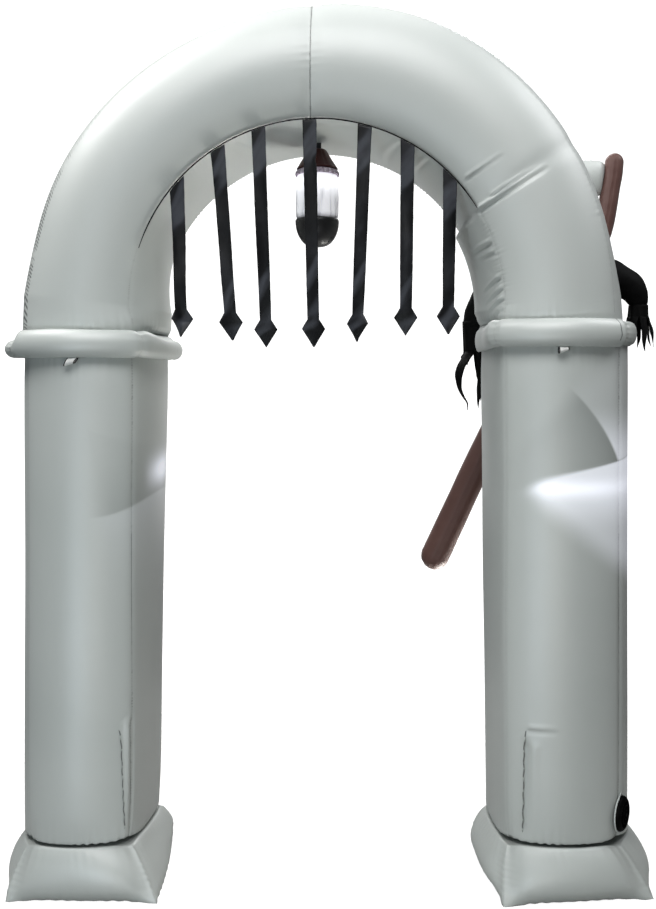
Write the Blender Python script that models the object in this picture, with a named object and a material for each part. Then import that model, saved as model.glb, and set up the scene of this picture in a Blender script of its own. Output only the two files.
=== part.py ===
"""An inflatable doorway arch with a cloth portcullis, a lantern and a robed figure on the far face of one leg.

Metres, +Z up. The arch is walked through along Y and its front faces -Y. Everything is modelled about the point on the
floor midway between the legs, under the middle of the tube, and hangs from one empty that puts the middle of the
whole footprint at the origin.

Every tube is sewn from four panels: front, outer, back and inner. Air bows each panel out between its seams, so a
section is four arcs, and a tube is a loft through such sections.
"""

import math
from collections import namedtuple

import bmesh
import bpy
from mathutils import Vector

# Where the point between the legs stands, so that the footprint's middle is the origin
ARCH_X, ARCH_Y = -0.113, -0.166
GAP = 0.0004  # between two pieces that touch

# The tube
HALF_DEPTH = 0.215  # from the middle of the tube to its front and back seams
FACE_BULGE = 0.070  # how far air bows the front and back panels out
BACK_FACE = HALF_DEPTH + FACE_BULGE
INNER_BULGE = 0.020
PANEL_STEPS = {"front": 8, "outer": 6, "back": 8, "inner": 4}

# The seams of the arch, as circles in the XZ plane
INNER_SEAM_Z, INNER_SEAM_R = 1.724, 0.555
OUTER_SEAM_X, OUTER_SEAM_Z, OUTER_SEAM_R = 0.014, 1.756, 0.856
OUTER_LEAN = 0.044  # how far the top of the outer seam leans to the right
BACK_SEAM_IN = 0.012  # the inner seam at the back is this much nearer the middle than the one in front
ARCH_STEP = 4.5  # degrees between two sections
ARCH_OUTER_BULGE = 0.050
ARCH_INNER_BULGE = 0.016
CROWN = 92.0  # degrees from the right springing to the seam at the top
CROSS_SEAM = 31.5  # a seam across the right half, with a looser inner panel below it
LOOSE_INNER_BULGE = 0.052
FOOT_INNER_BULGE = 0.037

# Seams across the tube draw it in: where, how deep and over how many degrees
DrawnIn = namedtuple("DrawnIn", "angle depth reach")
DRAWN_IN = (DrawnIn(CROWN, 0.010, 2.6), DrawnIn(CROSS_SEAM, 0.006, 3.0))

# One row for each leg; seams are distances from the middle of the doorway. Outer is the leg's own outer seam and
# arch_outer that of the arch's foot on it; back_in is how much nearer the middle the back inner seam stands, at the
# top and at the foot
Leg = namedtuple("Leg", "side inner outer arch_outer outer_bulge collar_z back_in_top back_in_foot")
LEGS = {
    "left": Leg(-1, 0.542, 0.858, 0.867, 0.046, 1.612, 0.012, -0.012),
    "right": Leg(1, 0.551, 0.893, 0.880, 0.066, 1.644, 0.011, 0.002),
}
FOOT_FLARE = 14.0  # degrees over which the arch widens to its foot
ARCH_CUFF = 0.032  # height over which the foot fills out above its collar
# One row for each section of a leg: height as a share of the leg, and how full its inner panel and its faces are
LegRow = namedtuple("LegRow", "share inner_fill face_fill")
LEG_ROWS = (
    LegRow(0.00, 0.55, 0.90),
    LegRow(0.06, 0.65, 1.00),
    LegRow(0.20, 0.75, 1.00),
    LegRow(0.40, 0.85, 1.00),
    LegRow(0.60, 1.00, 1.00),
    LegRow(0.80, 1.20, 1.00),
    LegRow(0.94, 1.35, 1.00),
    LegRow(1.00, 1.10, 0.89),
)
PLINTH_TOP = 0.115
PLINTH_FALL = 0.170  # the plinth's top falls this much for each metre towards the back

# The collar: a roll of cloth round the top of each leg
COLLAR_HALF_SEAM = 0.030  # from the middle of the roll to the seams above and below it
COLLAR_HALF_HEIGHT = 0.041
COLLAR_REACH = 0.047
COLLAR_STEPS = 12
COLLAR_FACE_FILL, COLLAR_INNER_BULGE = 0.93, 0.026

# The plinths: the corners of each on the floor, as distance from the middle of the doorway and depth
Corner = namedtuple("Corner", "out depth")
PLINTH_CORNERS = {
    "left": (Corner(0.455, -0.285), Corner(0.902, -0.275), Corner(0.915, 0.255), Corner(0.502, 0.225)),
    "right": (Corner(0.532, -0.305), Corner(0.982, -0.262), Corner(0.958, 0.265), Corner(0.495, 0.170)),
}
PLINTH_BOWS = {"front": 0.012, "outer": 0.020, "back": 0.015, "inner": 0.015}
# One row for each section of a plinth: height as a share, how far towards the floor outline, extra swell
PlinthRow = namedtuple("PlinthRow", "share spread swell")
PLINTH_ROWS = (
    PlinthRow(0.00, 1.00, -0.006),
    PlinthRow(0.05, 1.00, 0.002),
    PlinthRow(0.22, 0.93, 0.010),
    PlinthRow(0.45, 0.73, 0.015),
    PlinthRow(0.68, 0.44, 0.014),
    PlinthRow(0.88, 0.15, 0.006),
    PlinthRow(1.00, 0.01, 0.001),
)

# The portcullis
PIPING_FROM, PIPING_TO = CROSS_SEAM, 162.0
PIPING_THICK, PIPING_WIDE = 0.004, 0.006
BAR_THICK = 0.002
BAR_TOP_WIDTH, BAR_FOOT_WIDTH = 0.041, 0.034
HEAD_WIDTH = 0.069
HEAD_SHOULDER, HEAD_HEIGHT = 0.028, 0.081
BAR_STEPS = 9
# One row for each bar: where it is sewn, where its point hangs, its slack and its turn at the foot, in degrees
Bar = namedtuple("Bar", "top_x tip_x tip_z slack turn")
BARS = (
    Bar(-0.413, -0.404, 1.633, 0.012, 48.0),
    Bar(-0.293, -0.249, 1.623, 0.009, 22.0),
    Bar(-0.173, -0.149, 1.602, -0.008, 0.0),
    Bar(-0.023, -0.010, 1.604, 0.007, 12.0),
    Bar(0.140, 0.117, 1.619, -0.010, -32.0),
    Bar(0.266, 0.260, 1.637, 0.008, -10.0),
    Bar(0.391, 0.385, 1.641, -0.007, 8.0),
)

# The lantern hangs under the crown
LANTERN_X = -0.009
LANTERN_SIDES = 20
# Its turned outlines, from the top down: radius and height
CAP_OUTLINE = ((0.022, 2.234), (0.030, 2.230), (0.042, 2.209), (0.063, 2.175), (0.066, 2.170), (0.060, 2.1685))
SKIRT_OUTLINE = ((0.058, 2.1680), (0.067, 2.163), (0.068, 2.156), (0.060, 2.1515))
BODY_OUTLINE = ((0.060, 2.1510), (0.0665, 2.141), (0.0680, 2.081), (0.0672, 2.021), (0.0640, 2.0135))
BOWL_OUTLINE = ((0.0640, 2.0130), (0.0690, 2.009), (0.0665, 1.981), (0.0560, 1.953), (0.0380, 1.934), (0.014, 1.925))
STRAP_WIDTH, STRAP_THICK = 0.025, 0.002

# Small pieces sewn on
LOOP_WIDTH, LOOP_DROP, LOOP_DEPTH, WEBBING = 0.030, 0.024, 0.020, 0.002
LOOP_X = {"left": -0.695, "right": 0.708}
LOOP_STEPS = 12
FLAP_LOW, FLAP_HIGH, FLAP_WIDTH, FLAP_THICK = 0.190, 0.490, 0.030, 0.003
FLAP_FROM_SEAM = {"left": 0.004, "right": 0.034}
FLAP_STEPS = 6
BLOWER_Z = 0.213
BLOWER_SIDES = 24
# Turned outlines about the blower's axis: radius and height off the cloth
GRILLE_OUTLINE = ((0.050, 0.0), (0.0535, 0.003), (0.0530, 0.007), (0.044, 0.012), (0.026, 0.015), (0.008, 0.016))
RIM_OUTLINE = ((0.0540, 0.0), (0.0610, 0.0), (0.0630, 0.004), (0.0590, 0.009), (0.0545, 0.008))

# The figure on the far face of the right leg
ROBE_X = 0.842
ROBE_SIDES = 20
RobeRow = namedtuple("RobeRow", "z half_width near far")
ROBE_BEHIND_LEG = BACK_FACE + GAP
ROBE_BEHIND_COLLAR = BACK_FACE + COLLAR_REACH + GAP
ROBE_FAR = 0.560
ROBE_ROWS = (
    RobeRow(1.050, 0.060, 0.330, 0.430),
    RobeRow(1.080, 0.130, 0.300, 0.485),
    RobeRow(1.180, 0.172, ROBE_BEHIND_LEG, 0.530),
    RobeRow(1.380, 0.186, ROBE_BEHIND_LEG, 0.552),
    RobeRow(1.560, 0.192, ROBE_BEHIND_LEG, ROBE_FAR),
    RobeRow(1.598, 0.194, ROBE_BEHIND_COLLAR, ROBE_FAR),
    RobeRow(1.690, 0.200, ROBE_BEHIND_COLLAR, ROBE_FAR),
    RobeRow(1.728, 0.202, ROBE_BEHIND_LEG, ROBE_FAR),
    RobeRow(1.850, 0.192, ROBE_BEHIND_LEG, 0.555),
    RobeRow(1.915, 0.150, 0.305, 0.545),
    RobeRow(1.960, 0.118, 0.320, 0.538),
    RobeRow(2.040, 0.108, 0.325, 0.530),
    RobeRow(2.100, 0.080, 0.350, 0.510),
    RobeRow(2.130, 0.035, 0.395, 0.470),
)
ARM_DEPTH = 0.455
ARM_SIDES = 14
# Each arm runs from inside the robe, over its elbow and down to its open end; one row for each point of its middle
ArmRow = namedtuple("ArmRow", "x z radius")
ARMS = {
    "inner": (ArmRow(0.740, 1.905, 0.080), ArmRow(0.655, 1.855, 0.076), ArmRow(0.585, 1.775, 0.068),
              ArmRow(0.558, 1.690, 0.062)),
    "outer": (ArmRow(0.920, 1.900, 0.070), ArmRow(1.030, 1.880, 0.062), ArmRow(1.112, 1.830, 0.054),
              ArmRow(1.136, 1.765, 0.036)),
}
ARM_STEPS = 3
# A cuff is a short skirt under an arm's open end, torn into strips; one row for each strip
Strip = namedtuple("Strip", "length drift_x drift_y")
CUFF_STEPS = 20
Cuff = namedtuple("Cuff", "foot_x foot_z foot_radius strips")
CUFFS = {
    "inner": Cuff(0.540, 1.600, 0.061, (
        Strip(0.150, 0.006, 0.004), Strip(0.170, 0.012, 0.010), Strip(0.120, 0.000, 0.012), Strip(0.185, -0.010, 0.006),
        Strip(0.160, 0.004, 0.004), Strip(0.215, 0.022, 0.000), Strip(0.150, 0.010, -0.006), Strip(0.205, 0.006, -0.010),
        Strip(0.130, -0.006, -0.012), Strip(0.165, 0.002, -0.004))),
    "outer": Cuff(1.136, 1.725, 0.036, (
        Strip(0.130, 0.016, 0.002), Strip(0.110, 0.006, 0.006), Strip(0.135, -0.004, 0.008), Strip(0.095, -0.006, 0.004),
        Strip(0.125, -0.010, 0.000), Strip(0.140, -0.006, -0.004), Strip(0.100, -0.002, -0.008),
        Strip(0.140, 0.002, -0.006), Strip(0.120, 0.010, -0.004), Strip(0.090, 0.012, 0.000))),
}
CUFF_THICK = 0.003

# The scythe; one row for each point of the pole's middle
PoleRow = namedtuple("PoleRow", "x z radius")
POLE_ROWS = (PoleRow(0.411, 0.838, 0.053), PoleRow(0.632, 1.304, 0.051), PoleRow(0.842, 1.690, 0.046),
             PoleRow(1.030, 2.031, 0.038), PoleRow(1.080, 2.255, 0.035), PoleRow(1.088, 2.322, 0.035))
POLE_STEPS = 5  # rings between two points
POLE_SIDES = 12
POLE_ON_ROBE = 2  # the row where the pole lies on the robe
POLE_DEPTH = ROBE_FAR + POLE_ROWS[POLE_ON_ROBE].radius + GAP
# One row for each section of the blade: x, height of its middle, half height, half thickness
BladeRow = namedtuple("BladeRow", "x z half_height half_thick")
BLADE_ROWS = (
    BladeRow(1.0432, 2.256, 0.058, 0.014),
    BladeRow(1.024, 2.258, 0.070, 0.028),
    BladeRow(0.960, 2.256, 0.073, 0.036),
    BladeRow(0.860, 2.256, 0.070, 0.036),
    BladeRow(0.770, 2.244, 0.056, 0.030),
    BladeRow(0.700, 2.226, 0.036, 0.020),
    BladeRow(0.665, 2.212, 0.014, 0.010),
)
BLADE_SIDES = 14
BLADE_LEAN = 0.15  # the heel slopes with the pole


def finish(name, colour, roughness, metallic=0.0):
    """A material of one colour, from its linear red, green and blue."""
    made = bpy.data.materials.new(name)
    made.use_nodes = True
    shader = made.node_tree.nodes["Principled BSDF"]
    shader.inputs["Base Color"].default_value = (*colour, 1.0)
    shader.inputs["Roughness"].default_value = roughness
    shader.inputs["Metallic"].default_value = metallic
    return made


def place(name, mesh_data, material, root):
    """Turns a bmesh into a named object under the root, with its faces pointing out and its round faces smooth."""
    bmesh.ops.recalc_face_normals(mesh_data, faces=mesh_data.faces)
    mesh = bpy.data.meshes.new(name)
    mesh_data.to_mesh(mesh)
    mesh_data.free()
    mesh.shade_smooth()
    mesh.set_sharp_from_angle(angle=math.radians(40))
    mesh.materials.append(material)
    made = bpy.data.objects.new(name, mesh)
    bpy.context.scene.collection.objects.link(made)
    made.parent = root
    return made


def loft(rings):
    """A closed bmesh skinned over rings of as many points each, with a face at both ends."""
    made = bmesh.new()
    loops = [[made.verts.new(point) for point in ring] for ring in rings]
    for low, high in zip(loops, loops[1:]):
        for i in range(len(low)):
            j = (i + 1) % len(low)
            made.faces.new((low[i], low[j], high[j], high[i]))
    made.faces.new(reversed(loops[0]))
    made.faces.new(loops[-1])
    return made


def arc(start, end, bulge, steps):
    """Points from start up to, but not at, end, on an arc that bows to the right of the way there."""
    start, end = Vector(start), Vector(end)
    chord = end - start
    along = chord.normalized()
    side = Vector((along.y, -along.x))
    half_turn = 2 * math.atan2(2 * bulge, chord.length)
    if abs(half_turn) < 1e-6:
        return [start + chord * i / steps for i in range(steps)]
    radius = chord.length / 2 / math.sin(half_turn)
    centre = (start + end) / 2 - side * radius * math.cos(half_turn)
    turns = [half_turn * (2 * i / steps - 1) for i in range(steps)]
    return [centre + side * radius * math.cos(t) + along * radius * math.sin(t) for t in turns]


def four_panels(corners, bulges):
    """The outline through four corners, starting at the inner front one, with each panel bowed out."""
    outline = []
    for i, (panel, steps) in enumerate(PANEL_STEPS.items()):
        outline += arc(corners[i], corners[(i + 1) % 4], bulges[panel], steps)
    return outline


def tube_outline(width, inner_bulge, outer_bulge, back_in, face_bulge=FACE_BULGE):
    """The section of a tube: distance from its front inner seam, and depth."""
    corners = ((0, -HALF_DEPTH), (width, -HALF_DEPTH), (width, HALF_DEPTH), (-back_in, HALF_DEPTH))
    bulges = {"front": face_bulge, "outer": outer_bulge, "back": face_bulge, "inner": inner_bulge}
    return four_panels(corners, bulges)


def spread(outline, distance):
    """The outline moved out by a distance, square to its own line."""
    moved = []
    for i, point in enumerate(outline):
        along = (outline[(i + 1) % len(outline)] - outline[i - 1]).normalized()
        moved.append(point + Vector((along.y, -along.x)) * distance)
    return moved


def drawn_in(angle):
    """How far the seams across the arch draw the tube in at this angle."""
    return sum(seam.depth * math.exp(-(((angle - seam.angle) / seam.reach) ** 2)) for seam in DRAWN_IN)


def arch_ring(angle, inner_bulge, outer_bulge, flare):
    """The section of the arch at an angle from the right springing, its outer seam moved out by flare."""
    turn = math.radians(angle)
    way = Vector((math.cos(turn), 0, math.sin(turn)))
    inner = Vector((0, 0, INNER_SEAM_Z)) + way * INNER_SEAM_R
    lean = OUTER_LEAN * math.cos(turn) * math.sin(turn) ** 4
    outer = Vector((OUTER_SEAM_X, 0, OUTER_SEAM_Z)) + way * (OUTER_SEAM_R + lean + flare)
    across = (outer - inner).normalized()
    width = (outer - inner).length
    middle = Vector((width / 2, 0))
    pull = drawn_in(angle)
    ring = []
    for point in tube_outline(width, inner_bulge, outer_bulge, BACK_SEAM_IN):
        # the inner seam stays where it is, and the cloth away from it is drawn towards the middle
        share = min(1.0, max(0.0, point.x / 0.06))
        point = point - (point - middle).normalized() * pull * share
        ring.append(inner + across * point.x + Vector((0, point.y, 0)))
    return ring


def leg_outline(leg, outer, inner_bulge, back_in, face_bulge=FACE_BULGE):
    """The section of a leg, as distance from the middle of the doorway and depth."""
    outline = tube_outline(outer - leg.inner, inner_bulge, leg.outer_bulge, back_in, face_bulge)
    return [point + Vector((leg.inner, 0)) for point in outline]


def level(leg, outline, z):
    """A leg's outline as a ring at one height."""
    return [Vector((leg.side * point.x, point.y, z)) for point in outline]


def arch_half(side, grey, root):
    """Half of the arch, from its collar to the crown."""
    leg = LEGS[side]
    sweep = CROWN if side == "right" else 180 - CROWN
    steps = round(sweep / ARCH_STEP)
    foot = leg.collar_z + COLLAR_HALF_SEAM + GAP
    springing = OUTER_SEAM_R + leg.side * OUTER_SEAM_X
    mouth = leg_outline(leg, leg.arch_outer, COLLAR_INNER_BULGE, leg.back_in_top, FACE_BULGE * COLLAR_FACE_FILL)
    above = leg_outline(leg, leg.arch_outer - 0.003, FOOT_INNER_BULGE, leg.back_in_top)
    rings = [level(leg, spread(mouth, -0.002), foot), level(leg, above, foot + ARCH_CUFF)]
    for step in range(steps + 1):
        # the last section stops just short of the crown, clear of the other half
        turn = sweep * step / steps if step < steps else sweep - math.degrees(GAP / INNER_SEAM_R)
        near_foot = max(0.0, 1 - turn / FOOT_FLARE) ** 2
        inner_bulge = ARCH_INNER_BULGE + (FOOT_INNER_BULGE - ARCH_INNER_BULGE) * max(0.0, 1 - turn / CROSS_SEAM)
        if side == "right" and turn < CROSS_SEAM - 1:
            inner_bulge = LOOSE_INNER_BULGE
        rings.append(arch_ring(
            turn if side == "right" else 180 - turn,
            inner_bulge,
            ARCH_OUTER_BULGE + (leg.outer_bulge - ARCH_OUTER_BULGE) * near_foot,
            (leg.arch_outer - 0.006 - springing) * near_foot))
    return place(f"arch_half_{side}", loft(rings), grey, root)


def plinth_top(depth):
    """The height of a plinth's top at this depth."""
    return PLINTH_TOP - PLINTH_FALL * depth


def leg_ring(leg, row):
    """One section of a leg: level, but for the lowest, which lies on the plinth."""
    back_in = leg.back_in_foot + (leg.back_in_top - leg.back_in_foot) * row.share
    outline = leg_outline(leg, leg.outer, INNER_BULGE * row.inner_fill, back_in, FACE_BULGE * row.face_fill)
    top = leg.collar_z - COLLAR_HALF_SEAM - GAP
    ring = []
    for point in outline:
        foot = plinth_top(point.y) + GAP
        ring.append(Vector((leg.side * point.x, point.y, foot + (top - foot) * row.share)))
    return ring


def leg_tube(side, grey, root):
    """One leg, from its plinth to its collar."""
    return place(f"leg_{side}", loft([leg_ring(LEGS[side], row) for row in LEG_ROWS]), grey, root)


def collar(side, grey, root):
    """The roll of cloth where a leg meets the arch."""
    leg = LEGS[side]
    outer = max(leg.outer, leg.arch_outer)
    outline = leg_outline(leg, outer, COLLAR_INNER_BULGE, leg.back_in_top, FACE_BULGE * COLLAR_FACE_FILL)
    start = math.pi - math.asin(COLLAR_HALF_SEAM / COLLAR_HALF_HEIGHT)
    rings = []
    for step in range(COLLAR_STEPS + 1):
        # the roll leaves the cloth under its middle, swings out round it and comes back above it
        turn = start * (2 * step / COLLAR_STEPS - 1)
        out = COLLAR_REACH * (math.cos(turn) - math.cos(start)) / (1 - math.cos(start))
        rings.append(level(leg, spread(outline, out + GAP), leg.collar_z + COLLAR_HALF_HEIGHT * math.sin(turn)))
    return place(f"collar_{side}", loft(rings), grey, root)


def plinth(side, grey, root):
    """The flared foot of a leg, flat underneath."""
    leg = LEGS[side]
    row = LEG_ROWS[0]
    head = leg_outline(leg, leg.outer, INNER_BULGE * row.inner_fill, leg.back_in_foot, FACE_BULGE * row.face_fill)
    foot = four_panels([Vector((c.out, c.depth)) for c in PLINTH_CORNERS[side]], PLINTH_BOWS)
    rings = []
    for row in PLINTH_ROWS:
        outline = [low * row.spread + high * (1 - row.spread) for low, high in zip(foot, head)]
        outline = spread(outline, row.swell)
        rings.append([Vector((leg.side * p.x, p.y, plinth_top(p.y) * row.share)) for p in outline])
    rings[-1] = [Vector((leg.side * p.x, p.y, plinth_top(p.y))) for p in spread(head, 0.0015)]
    return place(f"plinth_{side}", loft(rings), grey, root)


def piping(black, root):
    """The black tape along the front inner seam, under which the bars are sewn."""
    outer_r = INNER_SEAM_R * math.cos(math.radians(ARCH_STEP / 2)) - GAP
    steps = round((PIPING_TO - PIPING_FROM) / ARCH_STEP)
    front = -HALF_DEPTH - PIPING_WIDE
    rings = []
    for step in range(steps + 1):
        turn = math.radians(PIPING_FROM + (PIPING_TO - PIPING_FROM) * step / steps)
        way = Vector((math.cos(turn), 0, math.sin(turn)))
        middle = Vector((0, 0, INNER_SEAM_Z))
        rings.append([middle + way * r + Vector((0, y, 0)) for r, y in (
            (outer_r - PIPING_THICK, front), (outer_r, front),
            (outer_r, front + PIPING_WIDE), (outer_r - PIPING_THICK, front + PIPING_WIDE))])
    return place("seam_piping", loft(rings), black, root)


def bar_top(x):
    """The height of the piping's underside above a point of the doorway."""
    radius = (INNER_SEAM_R * math.cos(math.radians(ARCH_STEP / 2)) - GAP - PIPING_THICK)
    radius = radius * math.cos(math.radians(ARCH_STEP / 2)) - GAP
    return INNER_SEAM_Z + math.sqrt(radius ** 2 - x ** 2)


def bar(number, row, black, root):
    """One hanging bar: a cut ribbon that ends in an arrow head."""
    shoulder_z = row.tip_z + HEAD_HEIGHT
    head = ((shoulder_z, BAR_FOOT_WIDTH), (shoulder_z - HEAD_SHOULDER, HEAD_WIDTH), (row.tip_z, BAR_THICK))
    top_z = bar_top(row.top_x)
    stations = []
    for step in range(BAR_STEPS):
        share = step / BAR_STEPS
        width = BAR_TOP_WIDTH + (BAR_FOOT_WIDTH - BAR_TOP_WIDTH) * share
        stations.append((top_z + (shoulder_z - top_z) * share, width))
    stations += head
    rings = []
    for z, width in stations:
        down = (top_z - z) / (top_z - row.tip_z)
        x = row.top_x + (row.tip_x - row.top_x) * down
        y = -HALF_DEPTH - PIPING_WIDE / 2 + row.slack * math.sin(2.2 * math.pi * down) * down
        turn = math.radians(row.turn) * down ** 6
        across = Vector((math.cos(turn), math.sin(turn), 0))
        through = Vector((-math.sin(turn), math.cos(turn), 0)) * BAR_THICK / 2
        ends = [Vector((x, y, z)) + across * w for w in (-width / 2, width / 2)]
        if down == 0:
            for end in ends:
                end.z = bar_top(end.x)
        rings.append([ends[0] - through, ends[1] - through, ends[1] + through, ends[0] + through])
    return place(f"portcullis_bar_{number}", loft(rings), black, root)


def turned(outline, sides):
    """A bmesh turned about Z from an outline of radius and height."""
    rings = []
    for radius, z in outline:
        turns = [2 * math.pi * i / sides for i in range(sides)]
        rings.append([Vector((radius * math.cos(t), radius * math.sin(t), z)) for t in turns])
    return loft(rings)


def lantern(paints, root):
    """The lantern: cap, gathered skirt, clear body and bowl, and the strap that it hangs by."""
    rows = (("cap", CAP_OUTLINE), ("skirt", SKIRT_OUTLINE), ("body", BODY_OUTLINE), ("bowl", BOWL_OUTLINE))
    for piece, outline in rows:
        made = place(f"lantern_{piece}", turned(outline, LANTERN_SIDES), paints[piece], root)
        made.location.x = LANTERN_X
    low = CAP_OUTLINE[0][1] + GAP
    inner = INNER_SEAM_R * math.cos(math.radians(ARCH_STEP / 2)) - ARCH_INNER_BULGE - BACK_SEAM_IN / 2
    high = INNER_SEAM_Z + inner - GAP
    x, y = STRAP_WIDTH / 2, STRAP_THICK / 2
    rings = [[Vector((sx * x, sy * y, z)) for sx, sy in ((-1, -1), (1, -1), (1, 1), (-1, 1))] for z in (low, high)]
    strap = place("lantern_strap", loft(rings), paints["bowl"], root)
    strap.location.x = LANTERN_X


def ribbon(points, thick, width):
    """A bmesh band of cloth: a line in the YZ plane given a thickness, and a width along X."""
    made = bmesh.new()
    faces = []
    pairs = []
    for i, point in enumerate(points):
        along = (points[min(i + 1, len(points) - 1)] - points[max(i - 1, 0)]).normalized()
        side = Vector((0, -along.z, along.y)) * thick / 2
        pairs.append((made.verts.new(point - side), made.verts.new(point + side)))
    for low, high in zip(pairs, pairs[1:]):
        faces.append(made.faces.new((low[0], high[0], high[1], low[1])))
    moved = bmesh.ops.extrude_face_region(made, geom=faces)
    bmesh.ops.translate(made, vec=Vector((width, 0, 0)),
                        verts=[v for v in moved["geom"] if isinstance(v, bmesh.types.BMVert)])
    return made


def tether_loop(side, white, root):
    """A loop of webbing that hangs from the underside of a collar."""
    leg = LEGS[side]
    y = -(HALF_DEPTH + FACE_BULGE * COLLAR_FACE_FILL + COLLAR_REACH * 0.42)
    top = leg.collar_z - COLLAR_HALF_HEIGHT - GAP
    turns = [math.radians(104 + 332 * i / LOOP_STEPS) for i in range(LOOP_STEPS + 1)]
    points = []
    for turn in turns:
        points.append(Vector((0, y + LOOP_DEPTH / 2 * math.cos(turn), top - LOOP_DROP / 2 + LOOP_DROP / 2 * math.sin(turn))))
    highest = max(point.z for point in points) + WEBBING / 2
    points = [point - Vector((0, 0, highest - top)) for point in points]
    made = place(f"tether_loop_{side}", ribbon(points, WEBBING, LOOP_WIDTH), white, root)
    made.location.x = LOOP_X[side] - LOOP_WIDTH / 2
    return made


def front_of_leg(leg, out):
    """The depth of a leg's front panel, this far from the middle of the doorway."""
    width = leg.outer - leg.inner
    half_turn = 2 * math.atan2(2 * FACE_BULGE, width)
    radius = width / 2 / math.sin(half_turn)
    middle = (leg.inner + leg.outer) / 2
    return -HALF_DEPTH + radius * math.cos(half_turn) - math.sqrt(radius ** 2 - (out - middle) ** 2)


def zip_flap(side, grey, root):
    """The strip of cloth over a zip, low on the front of a leg."""
    leg = LEGS[side]
    start = leg.inner + FLAP_FROM_SEAM[side]
    places = [start + FLAP_WIDTH * i / 2 for i in range(3)]
    rings = []
    for step in range(FLAP_STEPS + 1):
        z = FLAP_LOW + (FLAP_HIGH - FLAP_LOW) * step / FLAP_STEPS
        under = [Vector((leg.side * out, front_of_leg(leg, out) - GAP, z)) for out in places]
        over = [point - Vector((0, FLAP_THICK, 0)) for point in reversed(under)]
        rings.append(under + over)
    return place(f"zip_flap_{side}", loft(rings), grey, root)


def blower(paints, root):
    """The blower's grille and the cloth rim round it, on the front outer edge of the right leg."""
    leg = LEGS["right"]
    half_turn = 2 * math.atan2(2 * leg.outer_bulge, 2 * HALF_DEPTH)
    radius = HALF_DEPTH / math.sin(half_turn)
    # it sits on the flat of the outer panel next to the front seam
    turn = half_turn * (1 - 1 / PANEL_STEPS["outer"])
    facing = Vector((math.cos(turn), -math.sin(turn), 0))
    middle = Vector((leg.outer + leg.outer_bulge - radius, 0, BLOWER_Z))
    seat = middle + facing * (radius * math.cos(half_turn / PANEL_STEPS["outer"]) + GAP)
    for piece, outline in (("grille", GRILLE_OUTLINE), ("rim", RIM_OUTLINE)):
        rings = outline
        if piece == "rim":
            data = bmesh.new()
            loops = []
            for r, z in rings:
                turns = [2 * math.pi * i / BLOWER_SIDES for i in range(BLOWER_SIDES)]
                loops.append([data.verts.new((r * math.cos(t), r * math.sin(t), z)) for t in turns])
            for low, high in zip(loops, loops[1:] + loops[:1]):
                for i in range(BLOWER_SIDES):
                    j = (i + 1) % BLOWER_SIDES
                    data.faces.new((low[i], low[j], high[j], high[i]))
        else:
            data = turned(rings, BLOWER_SIDES)
        made = place(f"blower_{piece}", data, paints[piece], root)
        made.location = seat
        made.rotation_mode = "QUATERNION"
        made.rotation_quaternion = facing.to_track_quat("Z", "Y")


def tube(points, radii, sides):
    """A bmesh tube round points in one plane of constant depth."""
    rings = []
    for i, point in enumerate(points):
        along = (points[min(i + 1, len(points) - 1)] - points[max(i - 1, 0)]).normalized()
        side = Vector((along.z, 0, -along.x))
        turns = [2 * math.pi * k / sides for k in range(sides)]
        rings.append([point + (side * math.cos(t) + Vector((0, 1, 0)) * math.sin(t)) * radii[i] for t in turns])
    return loft(rings)


def smooth_route(points, steps):
    """More points on a smooth curve through the given ones."""
    points = [points[0] * 2 - points[1]] + list(points) + [points[-1] * 2 - points[-2]]
    route = []
    for before, start, end, after in zip(points, points[1:], points[2:], points[3:]):
        for step in range(steps):
            t = step / steps
            route.append(0.5 * (2 * start + (end - before) * t + (2 * before - 5 * start + 4 * end - after) * t ** 2
                                + (3 * start - before - 3 * end + after) * t ** 3))
    return route + [points[-2]]


def sleeve(rows):
    """The bmesh of an arm, whose last section is level."""
    # the radius rides along as the depth while the route is smoothed
    route = smooth_route([Vector((row.x, row.radius, row.z)) for row in rows], ARM_STEPS)
    made = tube([Vector((p.x, ARM_DEPTH, p.z)) for p in route], [p.y for p in route], ARM_SIDES)
    made.verts.ensure_lookup_table()
    for corner in list(made.verts)[-ARM_SIDES:]:
        corner.co.z = rows[-1].z
    return made


def robe(black, root):
    """The figure's robe, with a plain domed top and both arms, blown up as one piece."""
    rings = []
    for row in ROBE_ROWS:
        middle, half = (row.near + row.far) / 2, (row.far - row.near) / 2
        ring = []
        for i in range(ROBE_SIDES):
            turn = 2 * math.pi * i / ROBE_SIDES
            # flat where it lies on the leg, round on the far side
            power, most = (0.85, 1.0) if math.sin(turn) > 0 else (0.35, 0.95)
            x = math.copysign(abs(math.cos(turn)) ** power, math.cos(turn))
            y = math.copysign(min(1.0, abs(math.sin(turn)) ** power / most), math.sin(turn))
            ring.append(Vector((ROBE_X + row.half_width * x, middle + half * y, row.z)))
        rings.append(ring)
    made = place("robe", loft(rings), black, root)
    for name, rows in ARMS.items():
        limb = place(f"arm_{name}_guide", sleeve(rows), black, root)
        limb.hide_render = True
        limb.display_type = "WIRE"
        join = made.modifiers.new(f"Join {name} arm", "BOOLEAN")
        join.operation = "UNION"
        join.solver = "EXACT"
        join.object = limb
    return made


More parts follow.
